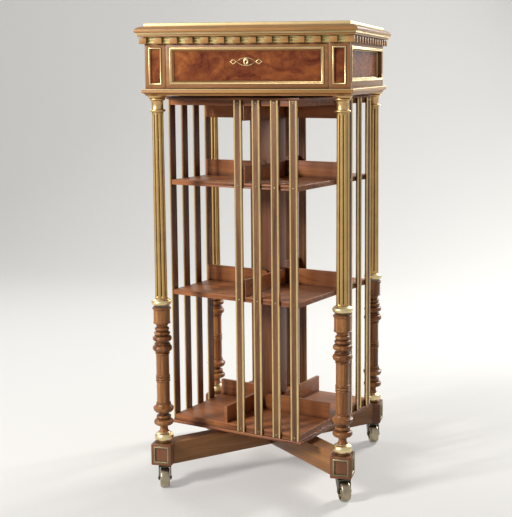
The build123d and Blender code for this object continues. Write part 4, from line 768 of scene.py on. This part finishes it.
# Brass courses round the cabinet: base line, double line under the nosing, fillet of the top
BASE_LINE = half_round_section(out=270.2, level=1045.5, radius=1.3, back=265.6)
NOSING_LINES = [
    half_round_section(out=279.7, level=level, radius=1.15, back=264) for level in (1183.2, 1185.8)
]
NOSING_STRIP = [(264, 1182), (278.4, 1182), (278.4, 1187), (264, 1187)]
work = bmesh.new()
for section in (BASE_LINE, *NOSING_LINES, NOSING_STRIP):
    square_course(work, section)
finished("brass_courses", work, "frame", LINE_BRASS, ("brass_lines",))

work = bmesh.new()
square_course(work, [
    (261, 1203), (264, 1203), (264, 1208.4), (263.4, 1210.2), (262.4, 1210.8), (261.6, 1211), (261, 1211),
])
finished("top_band", work, "frame", LINE_BRASS, ("top_fillet",))

# Ribbed brass behind the dentils
work = bmesh.new()
square_course(work, [(263, 1159.5), (264.5, 1159.5), (264.5, 1177), (263, 1177)])
for level in (1162.6, 1169.8):
    square_course(work, half_round_section(out=264.4, level=level, radius=2.2, back=263.2))
finished("dentil_ribs", work, "frame", BACKING_BRASS, ("dentil_backing",))

# Slat beads with rounded fronts, and domed nails
SLAT_FIRST = 19.5
SLAT_PITCH = 55.0
SLAT_CENTRES = [SLAT_FIRST + SLAT_PITCH * count for count in range(4)]
SLAT = 5.5
SLAT_FOOT, SLAT_TOP = 146.0, 1018.0
NAIL_LEVELS = (153.5, 500.75, 798.25, 1010.5)
CASE_OUT = 195.6
BEAD_OFFSETS = (-9.0, 9.0)
BEAD_ROOT = 3.4
bead_section = [
    (-2.5, BEAD_ROOT), (-2.5, 5.0), (-2.1, 6.1), (-1.2, 6.8),
    (0.0, 7.0), (1.2, 6.8), (2.1, 6.1), (2.5, 5.0), (2.5, BEAD_ROOT),
]
edging_section = [(-2.5, 0.0), (-2.5, BEAD_ROOT), (2.5, BEAD_ROOT), (2.5, 0.0)]


def slat_strips(work, section):
    """Upright strips of one section along both edges of every slat."""
    for quarter in QUARTERS:
        for across in (centre + offset for centre in SLAT_CENTRES for offset in BEAD_OFFSETS):
            ends = [
                [
                    work.verts.new(
                        upright(CASE_OUT, level, CASE_TURN + quarter, across + x) @ Vector((0, 0, out * MM))
                    )
                    for x, out in section
                ]
                for level in (SLAT_FOOT, SLAT_TOP)
            ]
            join_rings(work, [ends], len(section))
            work.faces.new(ends[0])
            work.faces.new(ends[1])


work = bmesh.new()
slat_strips(work, bead_section)
finished("rounded_beads", work, "case", BEAD_BRASS, ("slat_beads",))
work = bmesh.new()
slat_strips(work, edging_section)
finished("slat_edgings", work, "case", SLAT_WOOD)

dome = [(0, 0), (2.4, 0), (2.35, 0.4), (2.0, 0.9), (1.4, 1.2), (0.7, 1.36), (0, 1.4)]
work = bmesh.new()
for quarter in QUARTERS:
    for centre in SLAT_CENTRES:
        for level in NAIL_LEVELS:
            turn(work, dome, upright(CASE_OUT + SLAT, level, CASE_TURN + quarter, centre), segments=14)
finished("domed_nails", work, "case", OLD_BRASS, ("slat_nails",), smooth=60)


# Escutcheon in relief
def relief(work, place, outer, inner, height, rim=0.35):
    """Raised plate between two outlines with the same number of points, its edges rounded over."""
    shoulder = height * 0.6
    loops = []
    for share, rise in ((0, 0), (0, shoulder), (rim, height), (1 - rim, height), (1, shoulder), (1, 0)):
        loops.append([
            work.verts.new(place @ Vector((
                (x + (inner_x - x) * share) * MM, (y + (inner_y - y) * share) * MM, rise * MM,
            )))
            for (x, y), (inner_x, inner_y) in zip(outer, inner)
        ])
    swept(work, loops)


def pointed(length, height, steps=14):
    """Outline of two arcs that meet in points at the sides."""
    arc_radius = (length * length / 4 + height * height / 4) / height
    reach = asin(length / 2 / arc_radius)
    points = []
    for side in (1, -1):
        for step in range(steps):
            angle = side * reach * (1 - 2 * step / steps)
            above = arc_radius * cos(angle) - arc_radius + height / 2
            points.append((arc_radius * sin(angle), side * above))
    return points


def keyhole_reach(angle):
    """Distance from the keyhole's centre to its edge; the slot points down."""
    down = -sin(angle)
    half_slot, slot_length, eye = 1.2, 8.0, 2.6
    slot = min(half_slot / max(abs(cos(angle)), 0.001), slot_length / down) if down > 0.15 else 0.0
    return max(eye, slot)


PANEL_OUT = 258.0
KEYHOLE_LEVEL = 1114.0
KEYHOLE_POINTS = 48
keyhole_place = upright(PANEL_OUT, KEYHOLE_LEVEL)
work = bmesh.new()
relief(work, keyhole_place, pointed(50, 21), pointed(46, 17.4), 1.4)
angles = [2 * pi * step / KEYHOLE_POINTS for step in range(KEYHOLE_POINTS)]
shield = [(6.5 * cos(angle), 9.0 * sin(angle)) for angle in angles]
hole = [(keyhole_reach(angle) * cos(angle), keyhole_reach(angle) * sin(angle)) for angle in angles]
relief(work, keyhole_place, shield, hole, 1.5, rim=0.2)
LOZENGE = ((-1, 0), (0, -1), (1, 0), (0, 1))
for centre in (-33, 33):
    outer = [(centre + x * 9.0, y * 7.0) for x, y in LOZENGE]
    inner = [(centre + x * 6.2, y * 4.8) for x, y in LOZENGE]
    relief(work, keyhole_place, outer, inner, 1.3)
finished("raised_escutcheon", work, "drawer", LINE_BRASS, ("escutcheon",), smooth=45)

# Castor wheels with a turned hub, a thin web and a rounded tread, as (radius, along the axle)
half_wheel = [
    (3.05, -12.5), (7.6, -12.5), (8.0, -12.1), (8.0, -7.6), (8.6, -7.0), (18.8, -7.0), (19.5, -7.7),
    (19.5, -11.9), (20.1, -12.5), (20.6, -12.5), (22.4, -12.1), (23.9, -11.0), (25.0, -9.4), (25.5, -7.5),
]
wheel = half_wheel + [(radius, -along) for radius, along in reversed(half_wheel)]
for joint in frame["joints"]:
    if joint["name"].startswith("castor_roll_"):
        corner = joint["name"].removeprefix("castor_roll_")
        axle = Vector(joint["axis"]).to_track_quat("Z", "Y").to_matrix().to_4x4()
        work = bmesh.new()
        turn(work, wheel, Matrix.Translation(joint["pos_m"]) @ axle, closed=True)
        finished(
            "turned_wheel_" + corner, work, joint["child"], WHEEL_BRASS, ("castor_wheel_" + corner,),
            smooth=50,
        )


def seen_directly(tree):
    """1 for what the camera sees, also in metal or through glass, and 0 for the light on the object."""
    rays = tree.nodes.new("ShaderNodeLightPath")
    seen = rays.outputs["Is Camera Ray"]
    for kind in ("Is Glossy Ray", "Is Transmission Ray"):
        either = tree.nodes.new("ShaderNodeMath")
        either.operation = "MAXIMUM"
        tree.links.new(seen, either.inputs[0])
        tree.links.new(rays.outputs[kind], either.inputs[1])
        seen = either.outputs[0]
    return seen


# Floor and backdrop in one pale sweep, in metres
FLOOR_SHADE = (0.58, 0.58, 0.57)
FLOOR_GLOW = 0.27
SWEEP_HALF_WIDTH = 6.0
SWEEP_FRONT = -3.5
SWEEP_BEND = 2.6
SWEEP_RADIUS = 1.2
SWEEP_TOP = 5.0
bend_angles = [step * pi / 16 for step in range(1, 9)]
profile = [(SWEEP_FRONT, 0.0), (SWEEP_BEND, 0.0)]
profile += [
    (SWEEP_BEND + SWEEP_RADIUS * sin(angle), SWEEP_RADIUS * (1 - cos(angle))) for angle in bend_angles
]
profile += [(SWEEP_BEND + SWEEP_RADIUS, SWEEP_TOP)]
sweep = bmesh.new()
rows = [[sweep.verts.new((x, y, z)) for x in (-SWEEP_HALF_WIDTH, SWEEP_HALF_WIDTH)] for y, z in profile]
for lower, upper in zip(rows, rows[1:]):
    sweep.faces.new((lower[0], lower[1], upper[1], upper[0]))
data = bpy.data.meshes.new("floor")
sweep.to_mesh(data)
sweep.free()
data.shade_smooth()
floor = bpy.data.objects.new("floor", data)
scene.collection.objects.link(floor)
paper = Nodes("paper")
paper.shader.inputs["Base Color"].default_value = (*FLOOR_SHADE, 1.0)
paper.shader.inputs["Roughness"].default_value = 0.9
paper.shader.inputs["Emission Color"].default_value = (1.0, 1.0, 1.0, 1.0)
glow = paper.math("MULTIPLY", seen_directly(paper.tree), FLOOR_GLOW)
paper.wire(glow, paper.shader.inputs["Emission Strength"])
data.materials.append(paper.material)


def soft_lamp(name, position, target, size, watts, colour=(1.0, 1.0, 1.0)):
    """Area lamp turned towards its target."""
    lamp = bpy.data.lights.new(name, "AREA")
    lamp.shape = "RECTANGLE"
    lamp.size, lamp.size_y = size
    lamp.energy = watts
    lamp.color = colour
    holder = bpy.data.objects.new(name, lamp)
    holder.location = position
    holder.rotation_euler = (Vector(target) - Vector(position)).to_track_quat("-Z", "Y").to_euler()
    scene.collection.objects.link(holder)


soft_lamp("key", (-2.3, -2.6, 2.1), (0, 0, 0.75), (0.8, 0.8), 125, (1.0, 0.96, 0.90))
soft_lamp("side", (1.7, 2.7, 2.2), (0, 0, 0.8), (0.9, 1.2), 115, (1.0, 0.97, 0.92))
soft_lamp("back", (-2.4, 1.6, 2.4), (0, 0, 0.8), (1.2, 1.2), 25)

# Pale surroundings for the camera and in reflections, a dim room for the rest
SURROUNDINGS = 0.62
ROOM_LIGHT = 0.14
world = bpy.data.worlds.new("studio")
world.use_nodes = True
tree = world.node_tree
strength = tree.nodes.new("ShaderNodeMapRange")
strength.inputs["To Min"].default_value = ROOM_LIGHT
strength.inputs["To Max"].default_value = SURROUNDINGS
tree.links.new(seen_directly(tree), strength.inputs["Value"])
tree.links.new(strength.outputs["Result"], tree.nodes["Background"].inputs["Strength"])
tree.nodes["Background"].inputs["Color"].default_value = (1.0, 1.0, 1.0, 1.0)
scene.world = world
